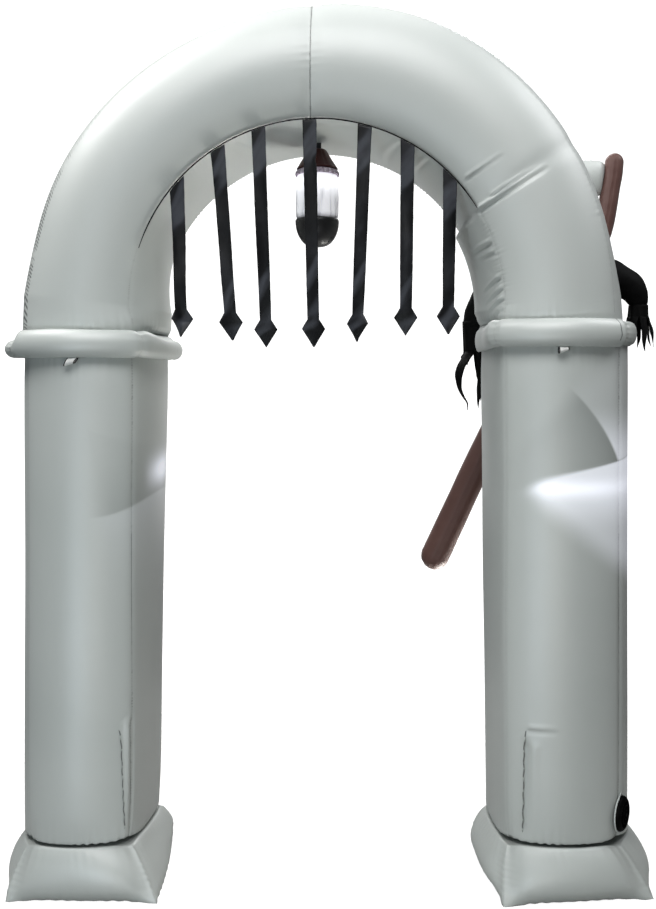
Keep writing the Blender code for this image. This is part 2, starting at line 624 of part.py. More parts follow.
def ragged_cuff(name, black, root):
    """A skirt of cloth under an arm's open end, torn into strips."""
    end, cuff = ARMS[name][-1], CUFFS[name]
    made = bmesh.new()
    loops = []
    for x, z, radius in ((end.x, end.z - GAP, end.radius), (cuff.foot_x, cuff.foot_z, cuff.foot_radius)):
        for r in (radius - CUFF_THICK, radius):
            turns = [2 * math.pi * i / CUFF_STEPS for i in range(CUFF_STEPS)]
            loops.append([made.verts.new((x + r * math.cos(t), ARM_DEPTH + r * math.sin(t), z)) for t in turns])
    top_in, top_out, foot_in, foot_out = loops
    soles = []
    for i in range(CUFF_STEPS):
        j = (i + 1) % CUFF_STEPS
        made.faces.new((top_out[i], top_out[j], foot_out[j], foot_out[i]))
        made.faces.new((top_in[j], top_in[i], foot_in[i], foot_in[j]))
        made.faces.new((top_in[i], top_in[j], top_out[j], top_out[i]))
        soles.append(made.faces.new((foot_in[j], foot_in[i], foot_out[i], foot_out[j])))
    for sole, strip in zip(soles[::2], cuff.strips):
        face = sole
        for share, width in ((0.34, 0.80), (0.33, 0.72), (0.33, 0.30)):
            face = bmesh.ops.extrude_discrete_faces(made, faces=[face])["faces"][0]
            middle = face.calc_center_median()
            for corner in face.verts:
                corner.co = middle + (corner.co - middle) * width
                corner.co += Vector((strip.drift_x, strip.drift_y, -strip.length)) * share
    return place(f"cuff_{name}", made, black, root)


def domed(route, radii):
    """The points and radii of a tube, with a round end added to both ends."""
    rises = [math.radians(a) for a in (25, 50, 72, 86)]
    start, end = (route[0] - route[1]).normalized(), (route[-1] - route[-2]).normalized()
    first = [(route[0] + start * radii[0] * math.sin(a), radii[0] * math.cos(a)) for a in reversed(rises)]
    last = [(route[-1] + end * radii[-1] * math.sin(a), radii[-1] * math.cos(a)) for a in rises]
    points, sizes = zip(*(first + list(zip(route, radii)) + last))
    return points, sizes


def scythe(paints, root):
    """The pole, across the far side of the robe, and the blade at its top."""
    route = smooth_route([Vector((row.x, row.radius, row.z)) for row in POLE_ROWS], POLE_STEPS)
    points = [Vector((p.x, POLE_DEPTH, p.z)) for p in route]
    place("scythe_pole", tube(*domed(points, [p.y for p in route]), POLE_SIDES), paints["pole"], root)
    rings = []
    for row in BLADE_ROWS:
        ring = []
        for i in range(BLADE_SIDES):
            turn = 2 * math.pi * i / BLADE_SIDES
            y, z = row.half_thick * math.cos(turn), row.half_height * math.sin(turn)
            lean = BLADE_LEAN * z if row.x > 1.0 else 0.0
            ring.append(Vector((row.x + lean, POLE_DEPTH + y, row.z + z)))
        rings.append(ring)
    place("scythe_blade", loft(rings), paints["blade"], root)


def build():
    """Clears the scene and builds every piece under one empty."""
    for old in list(bpy.data.objects):
        bpy.data.objects.remove(old)
    root = bpy.data.objects.new("arch_centre", None)
    root.location = (ARCH_X, ARCH_Y, 0)
    bpy.context.scene.collection.objects.link(root)

    grey = finish("grey_cloth", (0.48, 0.52, 0.50), 0.55)
    black = finish("black_cloth", (0.012, 0.012, 0.014), 0.60)
    brown = finish("brown_cloth", (0.095, 0.040, 0.030), 0.55)
    white = finish("white_webbing", (0.85, 0.85, 0.85), 0.50)
    clear = finish("clear_sheet", (0.90, 0.90, 0.95), 0.20)
    lilac = finish("gathered_sheer", (0.42, 0.35, 0.42), 0.35)
    plastic = finish("black_plastic", (0.010, 0.010, 0.010), 0.40)

    for side in LEGS:
        arch_half(side, grey, root)
        leg_tube(side, grey, root)
        collar(side, grey, root)
        plinth(side, grey, root)
        tether_loop(side, white, root)
        zip_flap(side, grey, root)
    piping(black, root)
    for number, row in enumerate(BARS, start=1):
        bar(number, row, black, root)
    lantern({"cap": brown, "skirt": lilac, "body": clear, "bowl": black}, root)
    blower({"grille": plastic, "rim": grey}, root)
    robe(black, root)
    for name in CUFFS:
        ragged_cuff(name, black, root)
    scythe({"pole": brown, "blade": grey}, root)


build()
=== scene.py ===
"""Looks of an inflatable doorway arch with a cloth portcullis, a lantern and a robed figure behind one leg.

Metres, +Z up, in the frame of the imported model. Each piece is shaped about the point on the floor midway
between the legs, and then moved to where that point lies in the frame. Every object stays at the origin.

The tubes are sewn from four panels that air bows out between their seams. Their skins follow the same sections
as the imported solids, with many more points, and carry the puckers, gathers and creases of the sewing.
"""

import logging
from collections.abc import Callable, Sequence
from dataclasses import dataclass
from enum import Enum
from functools import partial
from math import asin, atan2, copysign, cos, degrees, exp, pi, radians, sin, sqrt, tau
from typing import Any, NamedTuple

import bmesh
import bpy
from mathutils import Matrix, Vector, noise
from mathutils.bvhtree import BVHTree


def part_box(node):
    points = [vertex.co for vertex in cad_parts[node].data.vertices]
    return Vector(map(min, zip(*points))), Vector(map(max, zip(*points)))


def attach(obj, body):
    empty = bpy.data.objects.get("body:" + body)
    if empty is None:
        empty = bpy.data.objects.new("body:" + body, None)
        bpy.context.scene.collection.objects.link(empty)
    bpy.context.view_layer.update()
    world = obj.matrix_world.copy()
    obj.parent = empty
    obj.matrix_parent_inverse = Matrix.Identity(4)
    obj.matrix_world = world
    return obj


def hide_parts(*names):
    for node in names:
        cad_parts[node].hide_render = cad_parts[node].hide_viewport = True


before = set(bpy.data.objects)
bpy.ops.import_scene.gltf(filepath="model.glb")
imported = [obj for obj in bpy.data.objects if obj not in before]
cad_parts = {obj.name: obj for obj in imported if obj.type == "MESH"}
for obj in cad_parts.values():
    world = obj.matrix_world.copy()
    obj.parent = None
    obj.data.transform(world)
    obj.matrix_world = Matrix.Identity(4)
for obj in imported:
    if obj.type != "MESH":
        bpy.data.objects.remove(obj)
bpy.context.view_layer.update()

log = logging.getLogger("arch")

GAP = 0.0004  # between two pieces that touch
LANTERN_X = -0.009  # the lantern hangs this far from the middle of the doorway
STRAP_LOW, STRAP_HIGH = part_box("lantern_strap")
# The point on the floor midway between the legs, under the middle of the tube
CENTRE = Vector(((STRAP_LOW.x + STRAP_HIGH.x) / 2 - LANTERN_X, (STRAP_LOW.y + STRAP_HIGH.y) / 2, 0.0))

Pair = tuple[float, float]
Triple = tuple[float, float, float]
Colour = Triple
Outline = Sequence[Pair]
Sections = list[list[Vector]]
Wave = Callable[[float, float], Pair]
Material = bpy.types.Material
Mesh = bmesh.types.BMesh


# -------------------- Nodes --------------------


def maths(operation: str, turned_round: bool = False) -> Callable[..., "Wire"]:
    """Makes a method that adds one Math node.

    Args:
        operation: The node's operation.
        turned_round: True where the wire itself is the second value.

    Returns:
        The method, on a wire and any other value.
    """

    def method(self: "Wire", *others: "Wire | float") -> "Wire":
        """Adds the node and returns its wire."""
        values = (*others, self) if turned_round else (self, *others)
        return self.nodes.node("Math", {"operation": operation}, dict(enumerate(values)))

    return method


class Wire:
    """What comes out of a node's socket. A sum on wires adds its Math nodes."""

    __add__ = maths("ADD")
    __radd__ = maths("ADD", turned_round=True)
    __sub__ = maths("SUBTRACT")
    __rsub__ = maths("SUBTRACT", turned_round=True)
    __mul__ = maths("MULTIPLY")
    __rmul__ = maths("MULTIPLY", turned_round=True)
    __truediv__ = maths("DIVIDE")
    size = maths("ABSOLUTE")
    root = maths("SQRT")
    least = maths("MINIMUM")
    most = maths("MAXIMUM")
    sine = maths("SINE")
    exponent = maths("EXPONENT")

    def __init__(self, nodes: "Nodes", socket: bpy.types.NodeSocket | None) -> None:
        """Keeps the tree that the socket is in."""
        self.nodes = nodes
        self.socket = socket

    def fading(self) -> "Wire":
        """Returns e to the power of minus self."""
        return (self * -1.0).exponent()

    def waves(self, pitch: float) -> "Wire":
        """Returns even waves of this pitch, between -1 and 1."""
        return (self * (tau / pitch)).sine()

    def ease(self, low: float, high: float) -> "Wire":
        """Returns 0 below low, 1 above high, and a smooth step between them.

        Args:
            low: Where the step starts; above high, the step goes down instead.
            high: Where the step ends.

        Returns:
            The step.
        """
        if low > high:
            return 1.0 - self.ease(high, low)
        return self.nodes.node("MapRange", {"interpolation_type": "SMOOTHSTEP"},
                               {"Value": self, "From Min": low, "From Max": high})


class Nodes:
    """A node tree that is being filled."""

    def __init__(self, tree: bpy.types.NodeTree) -> None:
        """Empties the tree."""
        self.tree = tree
        tree.nodes.clear()

    def node(self, kind: str, settings: dict[str, Any], inputs: dict[int | str, Any],
             output: int | str = 0) -> Wire:
        """Adds a node.

        Args:
            kind: The node's type, after ShaderNode.
            settings: Its properties, and a ramp's stops as pairs of place and colour.
            inputs: What its sockets hold, by number, identifier or name: values or wires.
            output: Which of its outputs to return, by number, identifier or name.

        Returns:
            The output, or a wire of nothing from a node without one.
        """
        made = self.tree.nodes.new(f"ShaderNode{kind}")
        for key, value in settings.items():
            if key == "stops":
                elements = made.color_ramp.elements
                while len(elements) < len(value):
                    elements.new(0.5)
                for element, (place, colour) in zip(elements, value):
                    element.position = place
                    element.color = (*colour, 1.0)
            else:
                setattr(made, key, value)
        for key, value in inputs.items():
            socket = self._find(made.inputs, key)
            if isinstance(value, Wire):
                self.tree.links.new(value.socket, socket)
            elif socket.type == "RGBA" and len(value) == 3:
                socket.default_value = (*value, 1.0)
            else:
                socket.default_value = value
        return Wire(self, self._find(made.outputs, output) if made.outputs else None)

    @staticmethod
    def _find(sockets: Sequence[bpy.types.NodeSocket], key: int | str) -> bpy.types.NodeSocket:
        """Returns the socket with this number, identifier or name."""
        if isinstance(key, int):
            return sockets[key]
        return next(socket for socket in sockets if key in (socket.identifier, socket.name))

    def mix(self, start: "Wire | Colour", end: "Wire | Colour", share: "Wire | float") -> Wire:
        """Returns the colour that lies this share of the way from start to end."""
        return self.node("Mix", {"data_type": "RGBA"},
                         {"Factor_Float": share, "A_Color": start, "B_Color": end}, "Result_Color")

    def parts(self, vector: Wire) -> tuple[Wire, Wire, Wire]:
        """Returns the three numbers of a vector."""
        split = self.node("SeparateXYZ", {}, {0: vector}).socket.node
        return tuple(Wire(self, socket) for socket in split.outputs)

    def vector(self, x: "Wire | float", y: "Wire | float", z: "Wire | float") -> Wire:
        """Returns a vector of three numbers."""
        return self.node("CombineXYZ", {}, {0: x, 1: y, 2: z})

    def place(self) -> Wire:
        """Returns the place on the piece, in the object's own frame."""
        return self.node("TexCoord", {}, {}, "Object")

    def cloth(self) -> tuple[Wire, Wire]:
        """Returns how far round and along the cloth a place is, in metres."""
        return self.parts(self.node("UVMap", {"uv_map": "cloth"}, {}))[:2]

    def attribute(self, name: str) -> Wire:
        """Returns a number that the mesh carries."""
        return self.node("Attribute", {"attribute_name": name}, {}, "Fac")

    def grain(self, where: Wire, scale: float, detail: float = 2.0, roughness: float = 0.5) -> Wire:
        """Returns uneven spots between 0 and 1, this many to the metre."""
        return self.node("TexNoise", {},
                         {"Vector": where, "Scale": scale, "Detail": detail, "Roughness": roughness}, "Fac")

    def raised(self, height: Wire, distance: float, strength: float) -> Wire:
        """Returns the normal of a surface with this relief, whose heights span this distance."""
        return self.node("Bump", {}, {"Height": height, "Distance": distance, "Strength": strength})

    def principled(self, inputs: dict[str, Any]) -> Wire:
        """Returns the shader of a surface with these inputs."""
        return self.node("BsdfPrincipled", {}, inputs)


class Finish:
    """How a surface looks. Each kind says how its nodes are laid."""

    def lay(self, nodes: Nodes) -> Wire:
        """Adds the finish's nodes and returns its shader."""
        raise NotImplementedError

    def material(self, name: str) -> Material:
        """Makes a material of this finish.

        Args:
            name: The material's name.

        Returns:
            The material.
        """
        made = bpy.data.materials.new(name)
        made.use_nodes = True
        nodes = Nodes(made.node_tree)
        nodes.node("OutputMaterial", {}, {"Surface": self.lay(nodes)})
        return made


@dataclass(frozen=True)
class LampDisc:
    """The edge of a lamp's cone on the cloth from inside: a round shade with light past its edge.

    Places are distance along X from the middle of the doorway, and height.
    """

    x: float
    z: float
    radius: float
    reach: float  # how far the light fades out past the edge
    light: float
    low_light: float  # how much more light there is lower down
    shade: float
    shade_reach: float  # how far the shade fades out inside it
    toward: Pair  # the side of the disc where it shows
    spread: Pair  # cosines of how far to each side of that it fades and is whole
    deep: Pair  # the depths where it ends and is whole


@dataclass(frozen=True)
class LampBeam:
    """A beam that opens out from a point on the cloth, under an edge that rises and levels off."""

    x: float
    z: float
    rise: float  # of its upper edge in its first bend
    bend: float  # how far along X most of that takes
    climb: float  # of the edge after it, for each metre along X
    fall: float  # of its lower edge, for each metre along X
    light: float
    core_z: float = 0.006  # its bright middle, above its point
    core_wide: float = 0.024


@dataclass(frozen=True)
class LampSpot:
    """A spot of painted lamp light on the side panel of a leg: its depth, height and size."""

    y: float
    z: float
    radius: float
    light: float
    out: Pair  # the distances along X where it ends and is whole


@dataclass(frozen=True)
class BlownCloth(Finish):
    """Close-woven polyester, blown tight, with the stitches of its seams, painted shade in the puckers beside
    them, in the joints between pieces and in a flap's slit, and the painted light and shade of any lamp in it.
    """

    colour: Colour = (0.552, 0.586, 0.566)
    shadow_colour: Colour = (0.485, 0.525, 0.504)
    # the stitches' colour, also used for the painted shade of puckers, joints and a flap's slit
    thread_and_shade_colour: Colour = (0.060, 0.068, 0.068)
    weave_pitch: float = 0.0011
    stitch_pitch: float = 0.0085
    # How dark the stitches of the four lengthwise seams are, from the front inner one, with the painted shade
    # of the puckers beside them, and of the cross seams, whose dark line also paints the shade where a piece
    # meets the next piece or the floor
    seam_rows: tuple[float, float, float, float] = (0.25, 0.35, 0.30, 0.30)
    cross_row_and_shade: float = 0.45
    slit: float = 0.0  # how far across a flap the painted shade of its slit lies
    # How far round a torn dark line is, and how far along it runs
    notch: Triple | None = None
    edge_dashes: float = 0.0  # how dark the row of dashes beside the front outer seam, low on the left arch, is
    roughness: float = 0.45
    disc: LampDisc | None = None
    beam: LampBeam | None = None
    spot: LampSpot | None = None
    lamp_colour: Colour = (0.86, 0.88, 1.00)

    def lay(self, nodes: Nodes) -> Wire:
        """Adds the weave, tint, stitches and lamp light.

        Args:
            nodes: The tree.

        Returns:
            The shader.
        """
        place = nodes.place()
        u, v = nodes.cloth()
        tint = nodes.grain(place, 2.3, 3.0)
        slub = nodes.grain(nodes.vector(u * 60.0, v * 900.0, 0.0), 1.0, 1.0)
        colour = nodes.mix(self.colour, self.shadow_colour, tint.ease(0.35, 0.75) * 0.55)
        colour = nodes.mix(colour, self.shadow_colour, slub.ease(0.55, 0.80) * 0.22)
        relief = nodes.grain(nodes.vector(u * 90.0, v * 26.0, 0.0), 1.0, 2.0) * 0.30
        seam, which = nodes.attribute("seam"), nodes.attribute("which")
        row = which * 0.0
        for number, amount in enumerate(self.seam_rows):
            row = row + (which - number).size().ease(0.6, 0.4) * amount
        # the cross seams' dark line also paints the shade in the joint where a piece meets the next piece or
        # the floor
        for far, along, dark in ((seam, v, row), (nodes.attribute("cross"), u, self.cross_row_and_shade)):
            groove = far.ease(0.0040, 0.0012)
            dash = along.waves(self.stitch_pitch).ease(-0.30, 0.30)
            drawn = nodes.grain(nodes.vector(along, 0.3, 0.0), 8.0, 1.5).ease(0.50, 0.60)
            # painted shade in the troughs of the puckers beside the seam
            pucker_shade = nodes.grain(nodes.vector(along, 0.7, 0.0), 40.0, 1.0).ease(0.50, 0.66)
            mark = groove * (0.16 + dash * (0.30 + drawn * 0.75)) + far.ease(0.0060, 0.0010) * pucker_shade * 0.35
            colour = nodes.mix(colour, self.thread_and_shade_colour, (mark * dark).least(0.95))
            relief = relief - groove * 0.8
        if self.slit:
            # painted shade in the slit under the flap's lip, broken up by a grain
            torn = nodes.grain(nodes.vector(v, 0.9, 0.0), 60.0, 3.0)
            line = u.ease(self.slit - 0.0042, self.slit - 0.0022) * torn.ease(0.34, 0.52)
            colour = nodes.mix(colour, self.thread_and_shade_colour, line * 0.9)
        if self.notch:
            at, low, high = self.notch
            jag = (nodes.grain(nodes.vector(v, 0.2, 0.0), 70.0, 2.0) - 0.5) * 0.018
            line = (u - at + jag).size().ease(0.0032, 0.0012)
            line = line * v.ease(low, low + 0.004) * v.ease(high, high - 0.004)
            colour = nodes.mix(colour, self.thread_and_shade_colour, line * 0.9)
        if self.edge_dashes:
            x, _, z = nodes.parts(place)
            dash = (v * (tau / 0.0105) + seam * 260.0).sine().ease(-0.15, 0.45)
            edge = seam.ease(0.0230, 0.0170) * (which - 1.0).size().ease(0.6, 0.4)
            loops = nodes.grain(nodes.vector(v, 0.1, 0.0), 22.0, 2.0).ease(0.36, 0.50)
            edge = edge * dash * loops * (x - CENTRE.x).ease(-0.40, -0.60) * z.ease(2.35, 1.95)
            colour = nodes.mix(colour, self.thread_and_shade_colour, edge * self.edge_dashes)
        relief = relief + u.waves(self.weave_pitch) * v.waves(self.weave_pitch) * 0.06
        shades: dict[str, Any] = {}
        if self.disc or self.beam or self.spot:
            # the lamp's shade is painted into the base colour, and its light into the emission colour
            glow, shade = self._lamp(nodes, place)
            colour = nodes.mix(colour, (0.27, 0.295, 0.285), shade)
            shades = {"Emission Color": nodes.mix((0.0, 0.0, 0.0), self.lamp_colour, glow),
                      "Emission Strength": 1.0}
        return nodes.principled({
            "Base Color": colour,
            "Roughness": self.roughness + (tint - 0.5) * 0.08 + (slub - 0.5) * 0.06,
            "Normal": nodes.raised(relief, 0.0006, 0.55),
            "Sheen Weight": 0.08,
            "Sheen Roughness": 0.45,
            "IOR": 1.62,
            "Specular IOR Level": 1.0,
            **shades})

    def _lamp(self, nodes: Nodes, place: Wire) -> tuple[Wire, Wire]:
        """Works out the lamp's light on the cloth.

        Args:
            nodes: The tree.
            place: The place on the piece.

        Returns:
            How bright the cloth glows, and how far it is shaded.
        """
        x, y, z = nodes.parts(place)
        x, y = x - CENTRE.x, y - CENTRE.y
        glow = shade = x * 0.0
        above = 1.0
        if self.beam:
            beam = self.beam
            dx, dz = x - beam.x, z - beam.z
            top = (1.0 - (dx.most(0.0) / beam.bend).fading()) * beam.rise + dx * beam.climb
            above = (dz - top).ease(-0.002, 0.005)
            # the edge is soft at the beam's point and sharp further out
            soft = (dx.most(0.0) / 0.080).fading() * 0.034 + 0.004
            within = ((top - dz) / soft).ease(-0.6, 1.0)
            inside = dx.ease(-0.012, 0.070) * within * (dz + dx * beam.fall).ease(-0.055, 0.055)
            high = (dz - beam.core_z) / beam.core_wide
            core = (high * high).fading() * dx.ease(-0.03, 0.07)
            core = core * dx.ease(0.44, 0.16) * within
            lit = inside * (0.21 + 0.25 * dz.ease(-0.130, 0.010)) + core * 0.31
            glow = glow + lit * y.ease(-0.040, -0.140) * beam.light
        if self.disc:
            disc = self.disc
            dx, dz = x - disc.x, z - disc.z
            far = (dx * dx + dz * dz).root()
            past = far - disc.radius
            side = ((dx * disc.toward[0] + dz * disc.toward[1]) / far).ease(*disc.spread)
            shown = side * y.ease(*disc.deep) * above
            light = disc.light + dz.ease(0.44, 0.28) * disc.low_light
            glow = glow + past.ease(-0.003, 0.008) * (past.most(0.0) / disc.reach).fading() * shown * light
            within = past.ease(0.004, -0.004) * (past.least(0.0) / -disc.shade_reach).fading()
            shade = within * shown * disc.shade
        if self.spot:
            spot = self.spot
            dy, dz = y - spot.y, z - spot.z
            far = (dy * dy / (spot.radius * 3.0) ** 2 + dz * dz / spot.radius ** 2)
            glow = glow + far.fading() * y.ease(-0.170, -0.090) * x.ease(*spot.out) * spot.light
        return glow, shade.least(1.0)


@dataclass(frozen=True)
class DarkCloth(Finish):
    """Black or brown cloth with a satin face, with painted sheen in paler blotches and along its creases."""

    colour: Colour
    painted_sheen_colour: Colour
    # how strongly the painted sheen shows in blotches
    blotches: float = 0.5
    bands: float = 0.0  # how clearly soft bands of reflected light cross it
    roughness: float = 0.42
    sheen: float = 0.15
    gloss: float = 0.35
    crumple: float = 1.0

    def lay(self, nodes: Nodes) -> Wire:
        """Adds the creases, rubbed places and weave.

        Args:
            nodes: The tree.

        Returns:
            The shader.
        """
        place = nodes.place()
        u, v = nodes.cloth()
        creases = nodes.grain(place, 34.0, 4.0, 0.62)
        cloudy = nodes.grain(place, 9.0, 2.0)
        # painted sheen: paler in cloudy blotches and along the creases
        colour = nodes.mix(self.colour, self.painted_sheen_colour, cloudy.ease(0.42, 0.78) * self.blotches)
        colour = nodes.mix(colour, self.painted_sheen_colour, creases.ease(0.60, 0.78) * self.blotches * 0.6)
        if self.bands:
            band = nodes.grain(nodes.vector(u * 5.0, v * 11.0 + u * 14.0, cloudy * 0.9), 1.0, 2.0)
            colour = nodes.mix(colour, self.painted_sheen_colour, band.ease(0.50, 0.70) * self.bands)
        thread = nodes.grain(nodes.vector(u * 700.0, v * 700.0, 0.0), 1.0, 1.0)
        relief = creases * 0.8 * self.crumple + cloudy * 0.9 * self.crumple + thread * 0.10
        return nodes.principled({
            "Base Color": colour,
            "Roughness": self.roughness + (cloudy - 0.5) * 0.25,
            "Normal": nodes.raised(relief, 0.004, 0.35),
            "Sheen Weight": self.sheen,
            "Sheen Roughness": 0.4,
            "Specular IOR Level": self.gloss})


@dataclass(frozen=True)
class Webbing(Finish):
    """White woven tape with a black edge on both sides."""

    width: float
    colour: Colour = (0.86, 0.86, 0.84)
    edge_colour: Colour = (0.015, 0.015, 0.017)
    edge: float = 0.0035

    def lay(self, nodes: Nodes) -> Wire:
        """Adds the ribs and edges.

        Args:
            nodes: The tree.

        Returns:
            The shader.
        """
        u, v = nodes.cloth()
        middle = (u - self.width / 2).size()
        edge = middle.ease(self.width / 2 - self.edge, self.width / 2 - self.edge * 0.8)
        ribs = v.waves(0.0016) * u.waves(0.0024)
        blotches = nodes.grain(nodes.place(), 120.0, 3.0)
        colour = nodes.mix(self.colour, (0.70, 0.70, 0.68), blotches.ease(0.45, 0.75) * 0.5)
        colour = nodes.mix(colour, self.edge_colour, edge)
        return nodes.principled({
            "Base Color": colour,
            "Roughness": 0.55 + blotches * 0.15,
            "Normal": nodes.raised(ribs, 0.0003, 0.5)})


@dataclass(frozen=True)
class LitSheet(Finish):
    """Thin white cloth round a lamp: brightest at the bulb, with painted shade, greyer, in its folds and at its
    lower end.
    """

    colour: Colour = (0.80, 0.80, 0.84)
    lamp_colour: Colour = (0.95, 0.96, 1.00)
    bulb_z: float = 2.125
    low_z: float = 2.0135
    reach: float = 0.035  # how far above and below the bulb it is bright

    def lay(self, nodes: Nodes) -> Wire:
        """Adds the folds and the lamp's light.

        Args:
            nodes: The tree.

        Returns:
            The shader.
        """
        z = nodes.parts(nodes.place())[2]
        u, v = nodes.cloth()
        folds = nodes.grain(nodes.vector(u * 60.0, v * 9.0, 0.0), 1.0, 2.0)
        wrinkle = nodes.grain(nodes.vector(u * 25.0, v * 45.0, 3.0), 1.0, 3.0)
        high = (z - self.bulb_z) / self.reach
        near = (high * high).fading()
        # painted shade in the folds and near the lower end, which also dims the glow
        dim = folds.ease(0.40, 0.75) * 0.55 + z.ease(self.low_z + 0.018, self.low_z) * 0.5
        glow = 0.34 + near * 0.65 - dim * 0.35
        colour = nodes.mix(self.colour, (0.46, 0.45, 0.50), dim)
        return nodes.principled({
            "Base Color": colour,
            "Roughness": 0.30 + folds * 0.2,
            "Normal": nodes.raised(folds + wrinkle * 0.5, 0.003, 0.4),
            "Emission Color": nodes.mix((0.0, 0.0, 0.0), self.lamp_colour, glow),
            "Emission Strength": 1.0})


@dataclass(frozen=True)
class Lace(Finish):
    """Gathered sheer cloth with an open net, see-through between its threads."""

    colour: Colour = (0.44, 0.36, 0.44)
    pale_colour: Colour = (0.78, 0.73, 0.82)
    mesh_pitch: float = 0.0034

    def lay(self, nodes: Nodes) -> Wire:
        """Adds the net and the gathers.

        Args:
            nodes: The tree.

        Returns:
            The shader.
        """
        u, v = nodes.cloth()
        net = (u + v).waves(self.mesh_pitch) * (u - v).waves(self.mesh_pitch)
        gathers = nodes.grain(nodes.vector(u * 110.0, v * 12.0, 0.0), 1.0, 2.0)
        colour = nodes.mix(self.colour, self.pale_colour, gathers.ease(0.42, 0.68))
        return nodes.principled({
            "Base Color": nodes.mix(colour, (0.24, 0.17, 0.24), net.ease(0.10, 0.60) * 0.5),
            "Roughness": 0.40 + gathers * 0.2,
            "Alpha": 1.0 - net.ease(0.30, 0.75) * 0.55,
            "Normal": nodes.raised(gathers, 0.002, 0.5)})


@dataclass(frozen=True)
class Moulded(Finish):
    """Moulded plastic with a fine grain."""

    colour: Colour = (0.0015, 0.0015, 0.0016)

    def lay(self, nodes: Nodes) -> Wire:
        """Adds the grain.

        Args:
            nodes: The tree.

        Returns:
            The shader.
        """
        grain = nodes.grain(nodes.place(), 850.0, 2.0)
        dust = nodes.grain(nodes.place(), 45.0, 3.0)
        return nodes.principled({
            "Base Color": nodes.mix(self.colour, (0.006, 0.006, 0.006), dust.ease(0.5, 0.8)),
            "Specular IOR Level": 0.05,
            "Roughness": 0.45 + dust * 0.25,
            "Normal": nodes.raised(grain, 0.0003, 0.4)})


@dataclass(frozen=True)
class StudioFloor(Finish):
    """A pale floor, half clear, that fades into the background away from the object."""

    colour: Colour = (0.90, 0.89, 0.86)
    thin: float = 0.68  # how clear it is near the object, so that it throws little light back
    clear: float = 1.20  # metres from the middle to where the fade starts
    gone: float = 2.20

    def lay(self, nodes: Nodes) -> Wire:
        """Adds the fade.

        Args:
            nodes: The tree.

        Returns:
            The shader.
        """
        x, y, _ = nodes.parts(nodes.place())
        far = (x * x + y * y).root().ease(self.clear, self.gone)
        pale = nodes.principled({"Base Color": self.colour, "Roughness": 0.7})
        none = nodes.node("BsdfTransparent", {}, {})
        return nodes.node("MixShader", {}, {0: self.thin + far * (1.0 - self.thin), 1: pale, 2: none})


# -------------------- Meshes --------------------


class Panel(Enum):
    """The four panels of a tube, in their order round a section, from the front inner seam."""

    FRONT = "front"
    OUTER = "outer"
    BACK = "back"
    INNER = "inner"


PANEL_STEPS = {Panel.FRONT: 60, Panel.OUTER: 50, Panel.BACK: 44, Panel.INNER: 54}


class Spot(NamedTuple):
    """A point of a skin, and where it is on its cloth, in metres."""

    point: Vector
    panel: Panel | None
    around: float
    along: float
    seam: float  # to the nearest lengthwise seam
    start: float  # to the skin's first section
    end: float  # to its last


def arc(start: Vector, end: Vector, bulge: float, steps: int) -> list[Vector]:
    """Works out an arc that bows to the right of the way from start to end.

    Args:
        start: Where it starts.
        end: Where it ends.
        bulge: How far it bows out.
        steps: How many stretches it has.

    Returns:
        Its points, without the last.
    """
    chord = end - start
    along = chord.normalized()
    side = Vector((along.y, -along.x))
    half_turn = 2 * atan2(2 * bulge, chord.length)
    if abs(half_turn) < 1e-6:
        return [start + chord * i / steps for i in range(steps)]
    radius = chord.length / 2 / sin(half_turn)
    centre = (start + end) / 2 - side * radius * cos(half_turn)
    turns = [half_turn * (2 * i / steps - 1) for i in range(steps)]
    return [centre + side * radius * cos(t) + along * radius * sin(t) for t in turns]


def four_panels(corners: Sequence[Vector], bulges: dict[Panel, float]) -> list[Vector]:
    """Returns the outline through four corners, the inner front one first, with each panel bowed out."""
    outline = []
    for i, (panel, steps) in enumerate(PANEL_STEPS.items()):
        outline += arc(corners[i], corners[(i + 1) % 4], bulges[panel], steps)
    return outline


def panel_seams() -> tuple[int, ...]:
    """Returns the numbers of the points where the seams between the panels are."""
    seams, count = [], 0
    for steps in PANEL_STEPS.values():
        seams.append(count)
        count += steps
    return tuple(seams)


def near_seams(wide: float) -> list[float]:
    """Returns how near each point of a section is to a seam: 1 on it, falling off over this many points."""
    total = sum(PANEL_STEPS.values())
    return [sum(bell(min(abs(i - s), total - abs(i - s)), wide) for s in panel_seams()) for i in range(total)]


def panel_of(number: int) -> Panel:
    """Finds the panel that a section's point lies in.

    Args:
        number: The point's number.

    Returns:
        The panel.
    """
    for panel, steps in PANEL_STEPS.items():
        if number < steps:
            return panel
        number -= steps
    return Panel.FRONT


def side_shares() -> list[Pair]:
    """Returns how far each point of a section belongs to the outer side and to the inner side of a leg."""
    shares = []
    for panel, steps in PANEL_STEPS.items():
        for i in range(steps):
            far = i / steps
            shares.append({Panel.FRONT: (eased(far, 0.91, 0.97), 0.0), Panel.OUTER: (1.0, 0.0),
                           Panel.BACK: (1 - far, far), Panel.INNER: (0.0, eased(1 - far, 0.0, 0.4))}[panel])
    return shares


def spread(outline: Sequence[Vector], distance: float, hold: Sequence[float] | None = None) -> list[Vector]:
    """Moves an outline out, square to its own line.

    Args:
        outline: Its points.
        distance: How far it moves.
        hold: The share of the move that each point is held back by.

    Returns:
        The moved points.
    """
    moved = []
    for i, point in enumerate(outline):
        along = (outline[(i + 1) % len(outline)] - outline[i - 1]).normalized()
        moved.append(point + Vector((along.y, -along.x)) * distance * (1 - hold[i] if hold else 1))
    return moved


def between(low: float, high: float, share: float) -> float:
    """Returns the number that lies this share of the way from low to high."""
    return low + (high - low) * share


def eased(value: float, low: float, high: float) -> float:
    """Returns 0 below low, 1 above high, and a smooth step between them."""
    share = min(1.0, max(0.0, (value - low) / (high - low)))
    return share * share * (3 - 2 * share)


